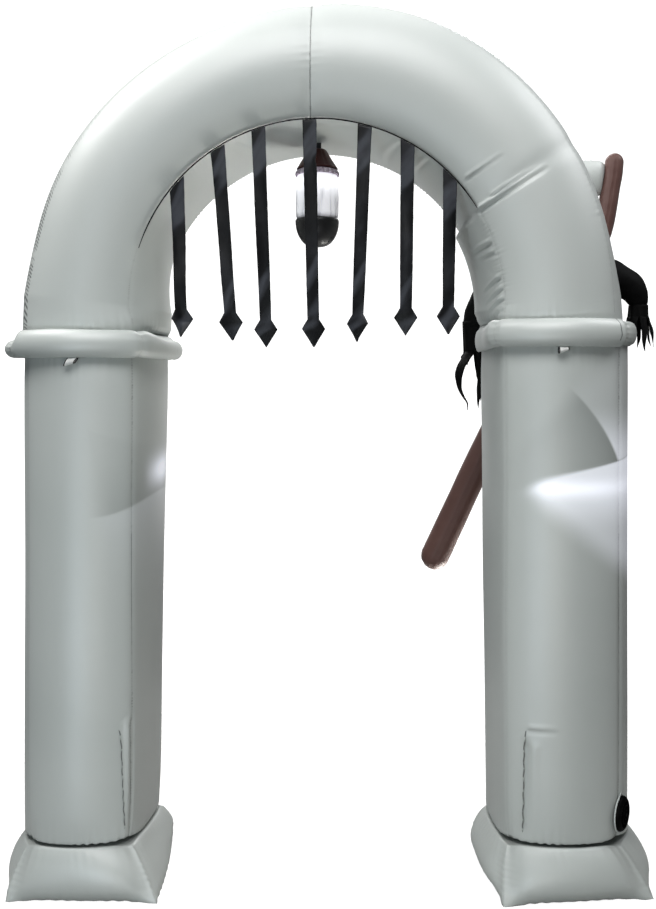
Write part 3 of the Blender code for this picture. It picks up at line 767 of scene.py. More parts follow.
def on_rows(rows: Sequence[Sequence[float]], share: float) -> list[float]:
    """Reads a smooth curve through the rows of a table, whose first column is where each row applies.

    Args:
        rows: The table, in order of its first column.
        share: Where to read it.

    Returns:
        The other columns there.
    """
    last = len(rows) - 1
    i = max(0, min(last - 1, sum(row[0] <= share for row in rows) - 1))
    before, low, high, after = rows[max(i - 1, 0)], rows[i], rows[i + 1], rows[min(i + 2, last)]
    t = min(1.0, max(0.0, (share - low[0]) / (high[0] - low[0])))
    step = high[0] - low[0]
    read = []
    for k in range(1, len(low)):
        rise_low = (high[k] - before[k]) / (high[0] - before[0]) * step
        rise_high = (after[k] - low[k]) / (after[0] - low[0]) * step
        read.append((2 * t ** 3 - 3 * t ** 2 + 1) * low[k] + (t ** 3 - 2 * t ** 2 + t) * rise_low
                    + (3 * t ** 2 - 2 * t ** 3) * high[k] + (t ** 3 - t ** 2) * rise_high)
    return read


def uneven(x: float, y: float, z: float) -> float:
    """Returns smooth noise at a place, between -1 and 1."""
    return noise.noise(Vector((x, y, z)))


def ripple(distance: float, pitch: float, row: float) -> float:
    """Returns uneven waves of about one pitch, between -1 and 1, with other waves on each row."""
    drift = uneven(distance / pitch * 0.31, row, 0.5)
    height = uneven(distance / pitch * 0.45, row, 9.5)
    return sin(tau * distance / pitch + 4.0 * drift) * (0.55 + 0.9 * height)


def bell(distance: float, width: float) -> float:
    """Returns 1 at no distance, falling to nothing past about two widths."""
    return exp(-((distance / width) ** 2))


def lay_grid(data: Mesh, across: int, along: int, size: Pair,
             place: Callable[[float, float], Vector]) -> list[bmesh.types.BMVert]:
    """Adds a grid and puts each of its points where place says.

    Args:
        data: The bmesh it is added to.
        across: Its faces across.
        along: Its faces along.
        size: The cloth's width and length in metres, for its UV map.
        place: Gives a point from its shares across and along.

    Returns:
        The grid's points.
    """
    uv = data.loops.layers.uv.get("cloth") or data.loops.layers.uv.new("cloth")
    made = bmesh.ops.create_grid(data, x_segments=across, y_segments=along, size=0.5, calc_uvs=True)["verts"]
    for corner in made:
        x, y = corner.co.x + 0.5, corner.co.y + 0.5
        for loop in corner.link_loops:
            loop[uv].uv = (x * size[0], y * size[1])
        corner.co = place(x, y)
    return made


def thicken(data: Mesh, thickness: float) -> None:
    """Gives a sheet of cloth its thickness, with both its sides facing out."""
    bmesh.ops.recalc_face_normals(data, faces=data.faces)
    bmesh.ops.solidify(data, geom=data.faces, thickness=thickness)
    bmesh.ops.recalc_face_normals(data, faces=data.faces)


def measured(points: Sequence[Vector]) -> list[float]:
    """Returns how far along the line through the points each of them is."""
    far = [0.0]
    for start, end in zip(points, points[1:]):
        far.append(far[-1] + (end - start).length)
    return far


def add_object(name: str, data: Any) -> bpy.types.Object:
    """Returns a new object of the scene with this data."""
    made = bpy.data.objects.new(name, data)
    bpy.context.scene.collection.objects.link(made)
    return made


def add_mesh(name: str, data: Mesh) -> bpy.types.Object:
    """Returns a new object of the scene with this shape, which is freed."""
    mesh = bpy.data.meshes.new(name)
    data.to_mesh(mesh)
    data.free()
    return add_object(name, mesh)


@dataclass
class Piece:
    """A finished piece: what it is called, what it stands for and what it is made of."""

    name: str
    slot: str
    material: Material
    nodes: Sequence[str] = ()

    def finish(self, data: Mesh, placed: bool = False) -> bpy.types.Object:
        """Turns a bmesh into the piece's object, parents it to the body's root and hides the imported parts
        that it replaces.

        Args:
            data: The piece's shape, which is freed.
            placed: True where the shape is already in the frame's own place.

        Returns:
            The object.
        """
        if not placed:
            bmesh.ops.translate(data, vec=CENTRE, verts=data.verts)
        for face in data.faces:
            face.smooth = True
        made = add_mesh(self.name, data)
        made.data.materials.append(self.material)
        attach(made, "root")
        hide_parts(*self.nodes)
        log.info("%s: %d faces", self.name, len(made.data.polygons))
        return made


@dataclass
class Skin:
    """A closed tube of cloth laid over sections of as many points each."""

    sections: Sequence[Sequence[Vector]]
    seams: Sequence[int] = ()  # the numbers of the points where its lengthwise seams are
    relief: Callable[[Spot], float] | None = None
    panels: bool = False

    def mesh(self) -> Mesh:
        """Builds the tube, closes both its ends and raises its relief.

        Returns:
            The tube.
        """
        around, along = len(self.sections[0]), len(self.sections) - 1
        middle = list(self.sections[along // 2])
        round_at = measured(middle + middle[:1])
        line = [sum(section, Vector((0, 0, 0))) / around for section in self.sections]
        edge_at = measured([section[self.seams[1] if len(self.seams) > 1 else 0] for section in self.sections])
        line_at = measured(line)
        along_at = [max(a, b) for a, b in zip(edge_at, line_at)]
        data = bmesh.new()
        names = ("round_at", "along_at", "seam", "which", "cross")
        layers = {name: data.verts.layers.float.new(name) for name in names}
        number = data.verts.layers.int.new("number")
        size = (round_at[-1], along_at[-1])
        for corner in lay_grid(data, around, along, size, lambda s, t: Vector((s, t, 0))):
            i, j = round(corner.co.x * around), round(corner.co.y * along)
            corner.co = self.sections[j][i % around]
            corner[number] = i % around
            corner[layers["round_at"]] = round_at[i]
            corner[layers["along_at"]] = along_at[j]
            corner[layers["seam"]], corner[layers["which"]] = self._to_seam(round_at[i], round_at)
            corner[layers["cross"]] = min(along_at[j], along_at[-1] - along_at[j])
        bmesh.ops.remove_doubles(data, verts=[v for v in data.verts if v.is_boundary], dist=1e-6)
        rims = [edge for edge in data.edges if edge.is_boundary]
        bmesh.ops.holes_fill(data, edges=rims)
        for edge in rims:
            edge.smooth = False
        bmesh.ops.recalc_face_normals(data, faces=data.faces)
        if self.relief:
            self._raise(data, layers, number, along_at[-1])
        data.verts.layers.int.remove(number)
        return data

    def _to_seam(self, at: float, round_at: Sequence[float]) -> Pair:
        """Returns how far a place round the section is from the nearest lengthwise seam, and which that is."""
        total = round_at[-1]
        gaps = [abs(at - round_at[s]) for s in self.seams]
        return min(((min(gap, total - gap), float(k)) for k, gap in enumerate(gaps)), default=(1.0, 0.0))

    def _raise(self, data: Mesh, layers: dict[str, Any], number: Any, total: float) -> None:
        """Moves every point along its normal by the relief there.

        Args:
            data: The tube.
            layers: Its layers of numbers, by name.
            number: The layer of the points' numbers round a section.
            total: How long the tube is.
        """
        data.normal_update()
        moves = []
        for corner in data.verts:
            at = corner[layers["along_at"]]
            panel = panel_of(corner[number]) if self.panels else None
            around, seam = corner[layers["round_at"]], corner[layers["seam"]]
            spot = Spot(corner.co, panel, around, at, seam, at, total - at)
            moves.append((corner, corner.normal * self.relief(spot)))
        for corner, move in moves:
            corner.co += move
        data.normal_update()


def circle(count: int) -> list[float]:
    """Returns the turns in radians of this many points, evenly round a circle."""
    return [tau * i / count for i in range(count)]


def turned(outline: Outline, sides: int, wave: Wave | None = None) -> Sections:
    """Turns an outline about Z into sections.

    Args:
        outline: Radius and height of each point.
        sides: Points round a section.
        wave: Gives how far out and up a point moves, from its turn in radians and its place along the outline.

    Returns:
        The sections.
    """
    sections = []
    for k, (radius, z) in enumerate(outline):
        section = []
        for turn in circle(sides):
            out, up = wave(turn, k / (len(outline) - 1)) if wave else (0.0, 0.0)
            section.append(Vector(((radius + out) * cos(turn), (radius + out) * sin(turn), z + up)))
        sections.append(section)
    return sections


def finer(outline: Outline, steps: int) -> list[Pair]:
    """Returns more points on a smooth line through the points of an outline."""
    far = measured([Vector(point) for point in outline])
    rows = [(at, *point) for at, point in zip(far, outline)]
    count = steps * (len(outline) - 1)
    return [tuple(on_rows(rows, far[-1] * i / count)) for i in range(count + 1)]


# -------------------- The blown-up tubes --------------------


class Side(Enum):
    """The two halves of the doorway, as the sign of X."""

    LEFT = -1
    RIGHT = 1

    @property
    def word(self) -> str:
        """Returns the side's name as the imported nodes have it."""
        return self.name.lower()


@dataclass(frozen=True)
class Crease:
    """A fold pulled into blown cloth: a ridge with a trough beside it, deepest near its start.

    Places on the front panel are X and height, and on the others depth and height.
    """

    panel: Panel
    start: Pair
    end: Pair
    width: float
    height: float

    def lift(self, spot: Spot) -> float:
        """Works out how far the crease raises a spot.

        Args:
            spot: The place on the skin.

        Returns:
            The rise, below 0 in the trough.
        """
        if spot.panel is not self.panel:
            return 0.0
        a = spot.point.x if self.panel is Panel.FRONT else spot.point.y
        start, way = Vector(self.start), Vector(self.end) - Vector(self.start)
        gone = Vector((a, spot.point.z)) - start
        share = gone.dot(way) / way.length_squared
        if not 0.0 < share < 1.0:
            return 0.0
        off = (way.x * gone.y - way.y * gone.x) / way.length
        if abs(off) > 5 * self.width:
            return 0.0
        fade = eased(share, 0.0, 0.10) * (1 - share) ** 0.8
        apart, wide = self.width * 0.7, self.width * 0.75
        return self.height * fade * (bell(off - apart, wide) - 1.1 * bell(off + apart, wide))


@dataclass(frozen=True)
class Sewing:
    """How the seams and the air work on a tube's cloth."""

    dip: float = 0.0022  # how far a seam is sunk
    dip_width: float = 0.0055
    pucker: float = 0.0016
    pitch: float = 0.019
    reach: float = 0.018  # how far the puckers run out from a seam
    start_pucker: float = 0.0024  # across the first section
    end_pucker: float = 0.0018
    end_reach: float = 0.030
    swell: float = 0.0028
    swell_size: float = 2.4  # swells to the metre
    round_off: float = 0.0  # how far its lengthwise corners are rounded off
    foot_round: float = 0.0  # how much further they are near its first section
    tuck: float = 0.0  # how far the edge of its first section turns in
    creases: tuple[Crease, ...] = ()

    def relief(self, spot: Spot) -> float:
        """Works out the relief of the cloth at a spot.

        Args:
            spot: The place on the skin.

        Returns:
            How far the cloth stands out.
        """
        row = {Panel.FRONT: 1.5, Panel.OUTER: 4.5, Panel.BACK: 7.5, Panel.INNER: 2.5, None: 0.0}[spot.panel]
        loose = 1.7 if spot.panel in (Panel.INNER, Panel.BACK) else 1.0
        rise = -self.dip * bell(spot.seam, self.dip_width) - self.round_off * bell(spot.seam, 0.016)
        rise -= self.foot_round * bell(spot.seam, 0.040) * exp(-spot.start / 0.060)
        rise -= self.tuck * exp(-spot.start / 0.005)
        rise += loose * self.pucker * exp(-spot.seam / self.reach) * ripple(spot.along, self.pitch, row)
        gathered = ripple(spot.around, self.pitch * 1.3, 11.5 + row)
        rise += self.start_pucker * exp(-spot.start / self.end_reach) * gathered
        gathered = ripple(spot.around, self.pitch * 1.3, 23.5 + row)
        rise += self.end_pucker * exp(-spot.end / self.end_reach) * gathered
        away = eased(min(spot.start, spot.end), 0.0, 0.08)
        rise += self.swell * away * noise.noise(spot.point * self.swell_size)
        return rise + sum(crease.lift(spot) for crease in self.creases)


@dataclass
class TubeHalf:
    """One half of the arch with its collar, leg and plinth. Distances run out from the doorway's middle."""

    side: Side
    inner: float
    outer: float
    arch_outer: float
    outer_bulge: float
    collar_z: float
    back_in_top: float
    back_in_foot: float
    loose_inner_bulge: float
    plinth_corners: Outline
    cloth: Material
    leg_cloth: Material
    plain_cloth: Material
    collar_cloth: Material
    arch_creases: tuple[Crease, ...] = ()
    leg_creases: tuple[Crease, ...] = ()

    half_depth: float = 0.215
    face_bulge: float = 0.070
    inner_bulge: float = 0.020
    inner_seam_z: float = 1.724
    inner_seam_r: float = 0.555
    outer_seam: Triple = (0.014, 1.756, 0.856)  # X, height and radius
    outer_lean: float = 0.044
    back_seam_in: float = 0.012
    arch_step: float = 0.46  # degrees between two sections
    arch_outer_bulge: float = 0.050
    arch_inner_bulge: float = 0.016
    crown: float = 92.0  # degrees from the right springing
    cross_seam: float = 31.5
    foot_inner_bulge: float = 0.037
    crown_pull: Pair = (0.0045, 2.0)  # metres deep, degrees wide
    cross_pull: Pair = (0.0035, 2.0)
    foot_flare: float = 14.0
    arch_cuff: float = 0.032
    cuff_fill: float = 0.70  # how full the inner panel is at the top of that cuff
    leg_step: float = 0.0075
    # Share of the leg's height, and how full its inner panel and its faces are
    leg_rows: tuple[Triple, ...] = (
        (0.00, 0.55, 0.90), (0.06, 0.65, 1.00), (0.20, 0.75, 1.00), (0.40, 0.85, 1.00),
        (0.60, 1.00, 1.00), (0.80, 1.20, 1.00), (0.94, 1.35, 1.00), (1.00, 1.10, 0.89))
    plinth_top: float = 0.115
    plinth_fall: float = 0.170  # for each metre towards the back
    plinth_bows: tuple[float, ...] = (0.012, 0.020, 0.015, 0.015)
    # Share of the plinth's height, how far its panels reach towards the floor outline, and their extra swell
    plinth_rows: tuple[Triple, ...] = (
        (0.00, 0.98, -0.026), (0.06, 0.99, -0.013), (0.14, 1.00, 0.000), (0.26, 0.97, 0.012),
        (0.42, 0.82, 0.018), (0.62, 0.55, 0.018), (0.80, 0.28, 0.012), (0.93, 0.09, 0.004), (1.00, 0.01, 0.000))
    ridge_width: float = 9.0  # points on each side of a corner over which the plinth's ridge runs straighter
    ridge_hold: float = 0.85
    ridge_rise: float = 0.0030
    plinth_calm: float = 0.0  # how straight the plinth's inner panel is drawn
    foot_tuck: float = 0.0055  # the groove between leg and plinth
    foot_round: float = 0.013
    plinth_steps: int = 30
    collar_half_seam: float = 0.030
    collar_half_height: float = 0.041
    collar_reach: float = 0.047
    collar_fill: float = 0.93
    collar_inner_bulge: float = 0.026
    # How much the collar's outer and inner sides reach out, how much they are thinned and how far they droop
    collar_outer: Triple = (1.0, 0.38, 0.013)
    collar_inner: Triple = (1.0, 0.25, 0.010)
    collar_steps: int = 30
    corner_pinch: float = 0.007
    corner_width: float = 0.024

    def outline(self, width: float, inner_bulge: float, outer_bulge: float, back_in: float,
                face_bulge: float) -> list[Vector]:
        """Works out a tube's section: distance from its front inner seam, and depth.

        Args:
            width: How far its outer seams are from there.
            inner_bulge: How far its inner panel bows.
            outer_bulge: How far its outer panel bows.
            back_in: How far its back inner seam lies inwards of the front one.
            face_bulge: How far its front and back panels bow.

        Returns:
            The section.
        """
        deep = self.half_depth
        corners = [Vector(c) for c in ((0, -deep), (width, -deep), (width, deep), (-back_in, deep))]
        bulges = (face_bulge, outer_bulge, face_bulge, inner_bulge)
        return four_panels(corners, dict(zip(Panel, bulges)))

    def leg_outline(self, outer: float, inner_bulge: float, back_in: float,
                    face_fill: float = 1.0) -> list[Vector]:
        """Returns the leg's section, as distance from the middle of the doorway and depth."""
        outline = self.outline(outer - self.inner, inner_bulge, self.outer_bulge, back_in,
                               self.face_bulge * face_fill)
        return [point + Vector((self.inner, 0)) for point in outline]

    def level(self, outline: Sequence[Vector], z: float) -> list[Vector]:
        """Returns an outline as a section at one height."""
        return [Vector((self.side.value * point.x, point.y, z)) for point in outline]

    def top_of_plinth(self, depth: float) -> float:
        """Returns the height of the plinth's top at this depth."""
        return self.plinth_top - self.plinth_fall * depth

    def arch_section(self, angle: float, inner_bulge: float, outer_bulge: float, flare: float) -> list[Vector]:
        """Works out a section of the arch.

        Args:
            angle: Degrees from the right springing.
            inner_bulge: How far its inner panel bows.
            outer_bulge: How far its outer panel bows.
            flare: How far its outer seam stands out past its circle.

        Returns:
            The section.
        """
        turn = radians(angle)
        way = Vector((cos(turn), 0, sin(turn)))
        inner = Vector((0, 0, self.inner_seam_z)) + way * self.inner_seam_r
        lean = self.outer_lean * cos(turn) * sin(turn) ** 4
        outer = Vector((self.outer_seam[0], 0, self.outer_seam[1])) + way * (self.outer_seam[2] + lean + flare)
        across, width = (outer - inner).normalized(), (outer - inner).length
        middle = Vector((width / 2, 0))
        pull = sum(depth * bell(angle - at, wide) for at, (depth, wide) in (
            (self.crown, self.crown_pull), (self.cross_seam, self.cross_pull)))
        section = []
        for point in self.outline(width, inner_bulge, outer_bulge, self.back_seam_in, self.face_bulge):
            # the front inner seam stays where it is, under the piping
            share = min(1.0, max(0.0, point.x / 0.06))
            point = point - (point - middle).normalized() * pull * share
            section.append(inner + across * point.x + Vector((0, point.y, 0)))
        return section

    def arch_sections(self) -> Sections:
        """Works out the sections of this half of the arch, from its collar to the crown.

        Returns:
            The sections.
        """
        sweep = self.crown if self.side is Side.RIGHT else 180 - self.crown
        foot = self.collar_z + self.collar_half_seam + GAP
        springing = self.outer_seam[2] + self.side.value * self.outer_seam[0]
        mouth = self.level(spread(self.leg_outline(self.arch_outer, self.collar_inner_bulge, self.back_in_top,
                                                   self.collar_fill), -0.002), foot)
        above = self.level(self.leg_outline(self.arch_outer - 0.003, self.foot_inner_bulge * self.cuff_fill,
                                            self.back_in_top), foot + self.arch_cuff)
        turns = round(sweep / self.arch_step)
        rings = []
        for step in range(turns + 1):
            # the last section stops just short of the crown, clear of the other half
            turn = sweep * step / turns if step < turns else sweep - degrees(GAP / self.inner_seam_r)
            near_foot = max(0.0, 1 - turn / self.foot_flare) ** 2
            bulge = between(self.arch_inner_bulge, self.foot_inner_bulge, max(0.0, 1 - turn / self.cross_seam))
            if self.loose_inner_bulge:
                loose = eased(self.cross_seam - turn, 0.0, 2.6)
                bulge = between(bulge, self.loose_inner_bulge, loose)
            rings.append(self.arch_section(
                turn if self.side is Side.RIGHT else 180 - turn, bulge,
                between(self.arch_outer_bulge, self.outer_bulge, near_foot),
                (self.arch_outer - 0.006 - springing) * near_foot))
        shares = [sin(pi / 2 * i / 5) for i in range(5)]
        rise = [[low.lerp(high, share) for low, high in zip(mouth, above)] for share in shares]
        for i, ring in enumerate(rise):
            for point in ring:
                point.z = foot + self.arch_cuff * i / 5
        steps = max(2, round((self.inner_seam_z - foot - self.arch_cuff) / 0.008))
        rise += [[low.lerp(high, i / steps) for low, high in zip(above, rings[0])] for i in range(steps)]
        return rise + rings

    def leg_sections(self) -> Sections:
        """Works out the sections of the leg: level, but for its foot, which lies on the plinth.

        Returns:
            The sections.
        """
        top = self.collar_z - self.collar_half_seam - GAP
        steps = round((top - self.plinth_top) / self.leg_step)
        rings = []
        for step in range(steps + 1):
            share = step / steps
            inner_fill, face_fill = on_rows(self.leg_rows, share)
            outline = self.leg_outline(self.outer, self.inner_bulge * inner_fill,
                                       between(self.back_in_foot, self.back_in_top, share), face_fill)
            ring = []
            for point in outline:
                foot = self.top_of_plinth(point.y) + GAP
                ring.append(Vector((self.side.value * point.x, point.y, between(foot, top, share))))
            rings.append(ring)
        return rings

    def plinth_sections(self) -> Sections:
        """Works out the sections of the plinth, from the floor up.

        Returns:
            The sections.
        """
        head = self.leg_outline(self.outer, self.inner_bulge * self.leg_rows[0][1], self.back_in_foot,
                                self.leg_rows[0][2])
        corners = [Vector(corner) for corner in self.plinth_corners]
        foot = four_panels(corners, dict(zip(Panel, self.plinth_bows)))
        straight = [max(near, self.plinth_calm if panel_of(i) is Panel.INNER else 0.0)
                    for i, near in enumerate(near_seams(self.ridge_width))]
        rings = []
        for step in range(self.plinth_steps + 1):
            # more sections at the floor, where the cloth turns under
            share = (step / self.plinth_steps) ** 1.3
            reach, swell = on_rows(self.plinth_rows, share)
            drawn = [low.lerp(high, 1 - between(reach, 1 - share, near))
                     for low, high, near in zip(foot, head, straight)]
            outline = spread(drawn, swell, [self.ridge_hold * near for near in straight])
            rings.append([Vector((self.side.value * p.x, p.y, self.top_of_plinth(p.y) * share))
                          for p in outline])
        return rings

    def collar_sections(self) -> Sections:
        """Works out the sections of the collar: a roll that leaves the cloth, swings out and comes back.

        Returns:
            The sections.
        """
        outline = self.leg_outline(max(self.outer, self.arch_outer), self.collar_inner_bulge, self.back_in_top,
                                   self.collar_fill)
        start = pi - asin(self.collar_half_seam / self.collar_half_height)
        sides = side_shares()
        whole = (1.0, 0.0, 0.0)
        shapes = [[w + outer * (o - w) + inner * (i - w)
                   for w, o, i in zip(whole, self.collar_outer, self.collar_inner)] for outer, inner in sides]
        rings = []
        for step in range(self.collar_steps + 1):
            turn = start * (2 * step / self.collar_steps - 1)
            out = self.collar_reach * (cos(turn) - cos(start)) / (1 - cos(start))
            ring = self.level(spread(outline, out + GAP, [1 - reach for reach, _, _ in shapes]), self.collar_z)
            off_leg = eased(out, 0.0, self.collar_reach * 0.45)
            for point, (_, thinned, droop) in zip(ring, shapes):
                point.z += self.collar_half_height * sin(turn) * (1 - thinned * off_leg) - droop * off_leg
            rings.append(ring)
        return rings

    def collar_relief(self, spot: Spot) -> float:
        """Works out the collar's relief: drawn in at its corners, with gathers that run out from them.

        Args:
            spot: The place on the skin.

        Returns:
            How far the cloth stands out.
        """
        out = eased(min(spot.start, spot.end), 0.0, 0.035)
        rise = -self.corner_pinch * bell(spot.seam, self.corner_width) * out
        rise -= 0.0040 * bell(spot.seam, 0.0045) * out
        gathers = ripple(spot.along, 0.017, 3.5) * exp(-spot.seam / 0.030)
        rise += 0.0022 * gathers * out
        along_seam = exp(-min(spot.start, spot.end) / 0.018)
        rise += 0.0016 * along_seam * ripple(spot.around, 0.021, 5.5 + self.side.value)
        return rise + 0.0030 * out * noise.noise(spot.point * 7.0)

    def plinth_relief(self, spot: Spot) -> float:
        """Works out the plinth's relief: ridges along its corners and puckers under the leg.

        Args:
            spot: The place on the skin.

        Returns:
            How far the cloth stands out.
        """
        off_floor = eased(spot.start, 0.004, 0.050)
        off_leg = eased(spot.end, 0.0, 0.03)
        rise = self.ridge_rise * bell(spot.seam, 0.010) * off_floor * off_leg
        rise -= self.foot_tuck * exp(-spot.end / 0.006)
        rise -= self.foot_round * bell(spot.seam, 0.040) * exp(-spot.end / 0.060)
        rise += 0.0030 * exp(-spot.end / 0.030) * ripple(spot.around, 0.030, 6.5) * off_leg
        rise += 0.0024 * exp(-spot.seam / 0.022) * ripple(spot.along, 0.020, 8.5) * off_floor
        rise += 0.0075 * off_floor * eased(spot.end, 0.0, 0.05) * noise.noise(spot.point * 5.0)
        return rise + 0.0016 * exp(-spot.start / 0.03) * ripple(spot.around, 0.040, 9.5)

    def build(self) -> None:
        """Builds the arch half, collar, leg and plinth."""
        seams = panel_seams()
        sewn_arch = Sewing(dip=0.0013, end_pucker=0.0007, tuck=0.0035, creases=self.arch_creases)
        sewn_leg = Sewing(pucker=0.0010, start_pucker=0.0022, end_pucker=0.0022, swell=0.0032, swell_size=1.7,
                          round_off=0.0035, foot_round=self.foot_round, tuck=self.foot_tuck,
                          creases=self.leg_creases)
        skins = (
            ("arch_half", self.arch_sections(), sewn_arch.relief, self.cloth),
            ("leg", self.leg_sections(), sewn_leg.relief, self.leg_cloth),
            ("collar", self.collar_sections(), self.collar_relief, self.collar_cloth),
            ("plinth", self.plinth_sections(), self.plinth_relief, self.plain_cloth))
        for word, sections, relief, cloth in skins:
            skin = Skin(sections, seams, relief, panels=True)
            node = f"{word}_{self.side.word}"
            Piece(f"{node}_skin", "grey_cloth", cloth, [node]).finish(skin.mesh())


# -------------------- The portcullis --------------------


@dataclass(frozen=True)
class Bar:
    """One hanging bar: where it is sewn, where its point hangs, its slack, and its foot's turn in degrees."""

    top_x: float
    tip_x: float
    tip_z: float
    slack: float
    turn: float
    kink: float = 0.0  # how far its side edge steps in near the top
    curl: float = 0.0  # how far the left half of its head rolls in


@dataclass
class Portcullis:
    """The black tape along the front inner seam, and the cut ribbons that hang from it."""

    tape_cloth: Material
    bar_cloth: Material
    bars: tuple[Bar, ...] = (
        Bar(-0.413, -0.397, 1.633, 0.012, 30.0, 0.0, 1.0), Bar(-0.293, -0.249, 1.623, 0.009, 22.0),
        Bar(-0.173, -0.149, 1.602, -0.008, 0.0), Bar(-0.023, -0.010, 1.604, 0.007, 12.0, 0.004),
        Bar(0.140, 0.117, 1.619, -0.010, -44.0), Bar(0.266, 0.260, 1.637, 0.008, -10.0),
        Bar(0.391, 0.385, 1.641, -0.007, 8.0))
    thick: float = 0.0018
    top_width: float = 0.041
    foot_width: float = 0.034
    head_width: float = 0.069
    head_shoulder: float = 0.028
    head_height: float = 0.081
    seam_y: float = -0.215
    seam_z: float = 1.724
    seam_r: float = 0.555
    cad_step: float = 4.5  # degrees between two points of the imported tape
    tape_from: float = 31.5
    tape_to: float = 162.0
    tape_thick: float = 0.004
    tape_wide: float = 0.006
    tape_sides: int = 12
    sewn_height: float = 0.110  # how far down a bar its slanting cut evens out

    def underside(self, x: float) -> float:
        """Returns the height of the tape's underside above a point of the doorway."""
        flat = cos(radians(self.cad_step / 2))
        radius = (self.seam_r * flat - GAP - self.tape_thick) * flat - GAP
        return self.seam_z + sqrt(radius ** 2 - x ** 2)

    def tape(self) -> None:
        """Builds the tape: a flat roll, drawn a little up and down by its stitches."""
        middle_r = self.seam_r * cos(radians(self.cad_step / 2)) - GAP - self.tape_thick / 2
        sections = []
        steps = round((self.tape_to - self.tape_from) / 0.6)
        for step in range(steps + 1):
            angle = between(self.tape_from, self.tape_to, step / steps)
            turn = radians(angle)
            way = Vector((cos(turn), 0, sin(turn)))
            fade = eased(min(step, steps - step), 0, 14)
            half = self.tape_thick / 2 * (0.45 + 0.55 * fade) * (1 + 0.25 * uneven(angle * 0.9, 0, 0))
            middle = Vector((0, self.seam_y - self.tape_wide / 2, self.seam_z)) + way * middle_r
            rows = [(half * cos(t), self.tape_wide / 2 * sin(t)) for t in circle(self.tape_sides)]
            sections.append([middle + way * up + Vector((0, deep, 0)) for up, deep in rows])
        Piece("seam_tape", "black_cloth", self.tape_cloth, ["seam_piping"]).finish(Skin(sections).mesh())

    def rows(self, bar: Bar) -> list[Pair]:
        """Works out the rows of a bar's cloth.

        Args:
            bar: The bar.

        Returns:
            How far down each row is, and how wide the bar is cut there.
        """
        tip = self.underside(bar.top_x) - bar.tip_z
        neck = tip - self.head_height
        widest = neck + self.head_shoulder
        parts = ((84, 84, 0.0, neck, self.top_width, self.foot_width),
                 (6, 6, neck, widest, self.foot_width, self.head_width),
                 (14, 15, widest, tip, self.head_width, 0.0012))
        return [(between(start, end, i / steps), between(wide, narrow, i / steps))
                for steps, count, start, end, wide, narrow in parts for i in range(count)]

    def hang(self, number: int, bar: Bar) -> None:
        """Builds one bar.

        Args:
            number: Its place from the left, from 1.
            bar: The bar.
        """
        rows = self.rows(bar)
        top_z = self.underside(bar.top_x)
        length = top_z - bar.tip_z

        def place(across: float, along: float) -> Vector:
            """Works out a point of the cloth.

            Args:
                across: Its share across.
                along: Its share along.

            Returns:
                The point.
            """
            far, width = rows[round(along * (len(rows) - 1))]
            down = far / length
            edge = across - 0.5
            cut = 0.0010 * uneven(far * 34, 7.0 * copysign(1, edge), number) * abs(edge) * 2
            side = edge * width + copysign(cut, edge)
            side -= bar.kink * bell(far - 0.12, 0.02) * max(0.0, edge) * 2
            turn = radians(bar.turn) * down ** 6
            wave = uneven(edge * 0.8, down * 5.2, number * 3.1)
            cup = 0.0035 * sin(3.4 * down + number) * (edge * 2) ** 2
            out = bar.slack * sin(2.2 * pi * down) * down + (0.0045 * wave + cup) * min(1.0, down * 4)
            x = between(bar.top_x, bar.tip_x, down) + side * cos(turn)
            y = self.seam_y - self.tape_wide / 2 + out + side * sin(turn)
            rolled = bar.curl * max(0.0, -side) * eased(far, length - self.head_height * 1.3, length)
            x, y = x + rolled * 0.55, y - rolled * 0.75 - bar.curl * 0.7 * max(0.0, far - length + 0.045)
            # its top is cut to the slope of the tape
            slope = (self.underside(x) - top_z) * eased(self.sewn_height - far, 0.0, self.sewn_height)
            return Vector((x, y, top_z - far + slope))

        data = bmesh.new()
        lay_grid(data, 10, len(rows) - 1, (self.top_width, length), place)
        thicken(data, self.thick)
        node = f"portcullis_bar_{number}"
        made = Piece(f"{node}_cloth", "black_cloth", self.bar_cloth, [node]).finish(data)
        area = sum((low[1] + high[1]) / 2 * (high[0] - low[0]) for low, high in zip(rows, rows[1:]))

    def build(self) -> None:
        """Builds the tape and the bars."""
        self.tape()
        for number, bar in enumerate(self.bars, start=1):
            self.hang(number, bar)


# -------------------- The lantern --------------------


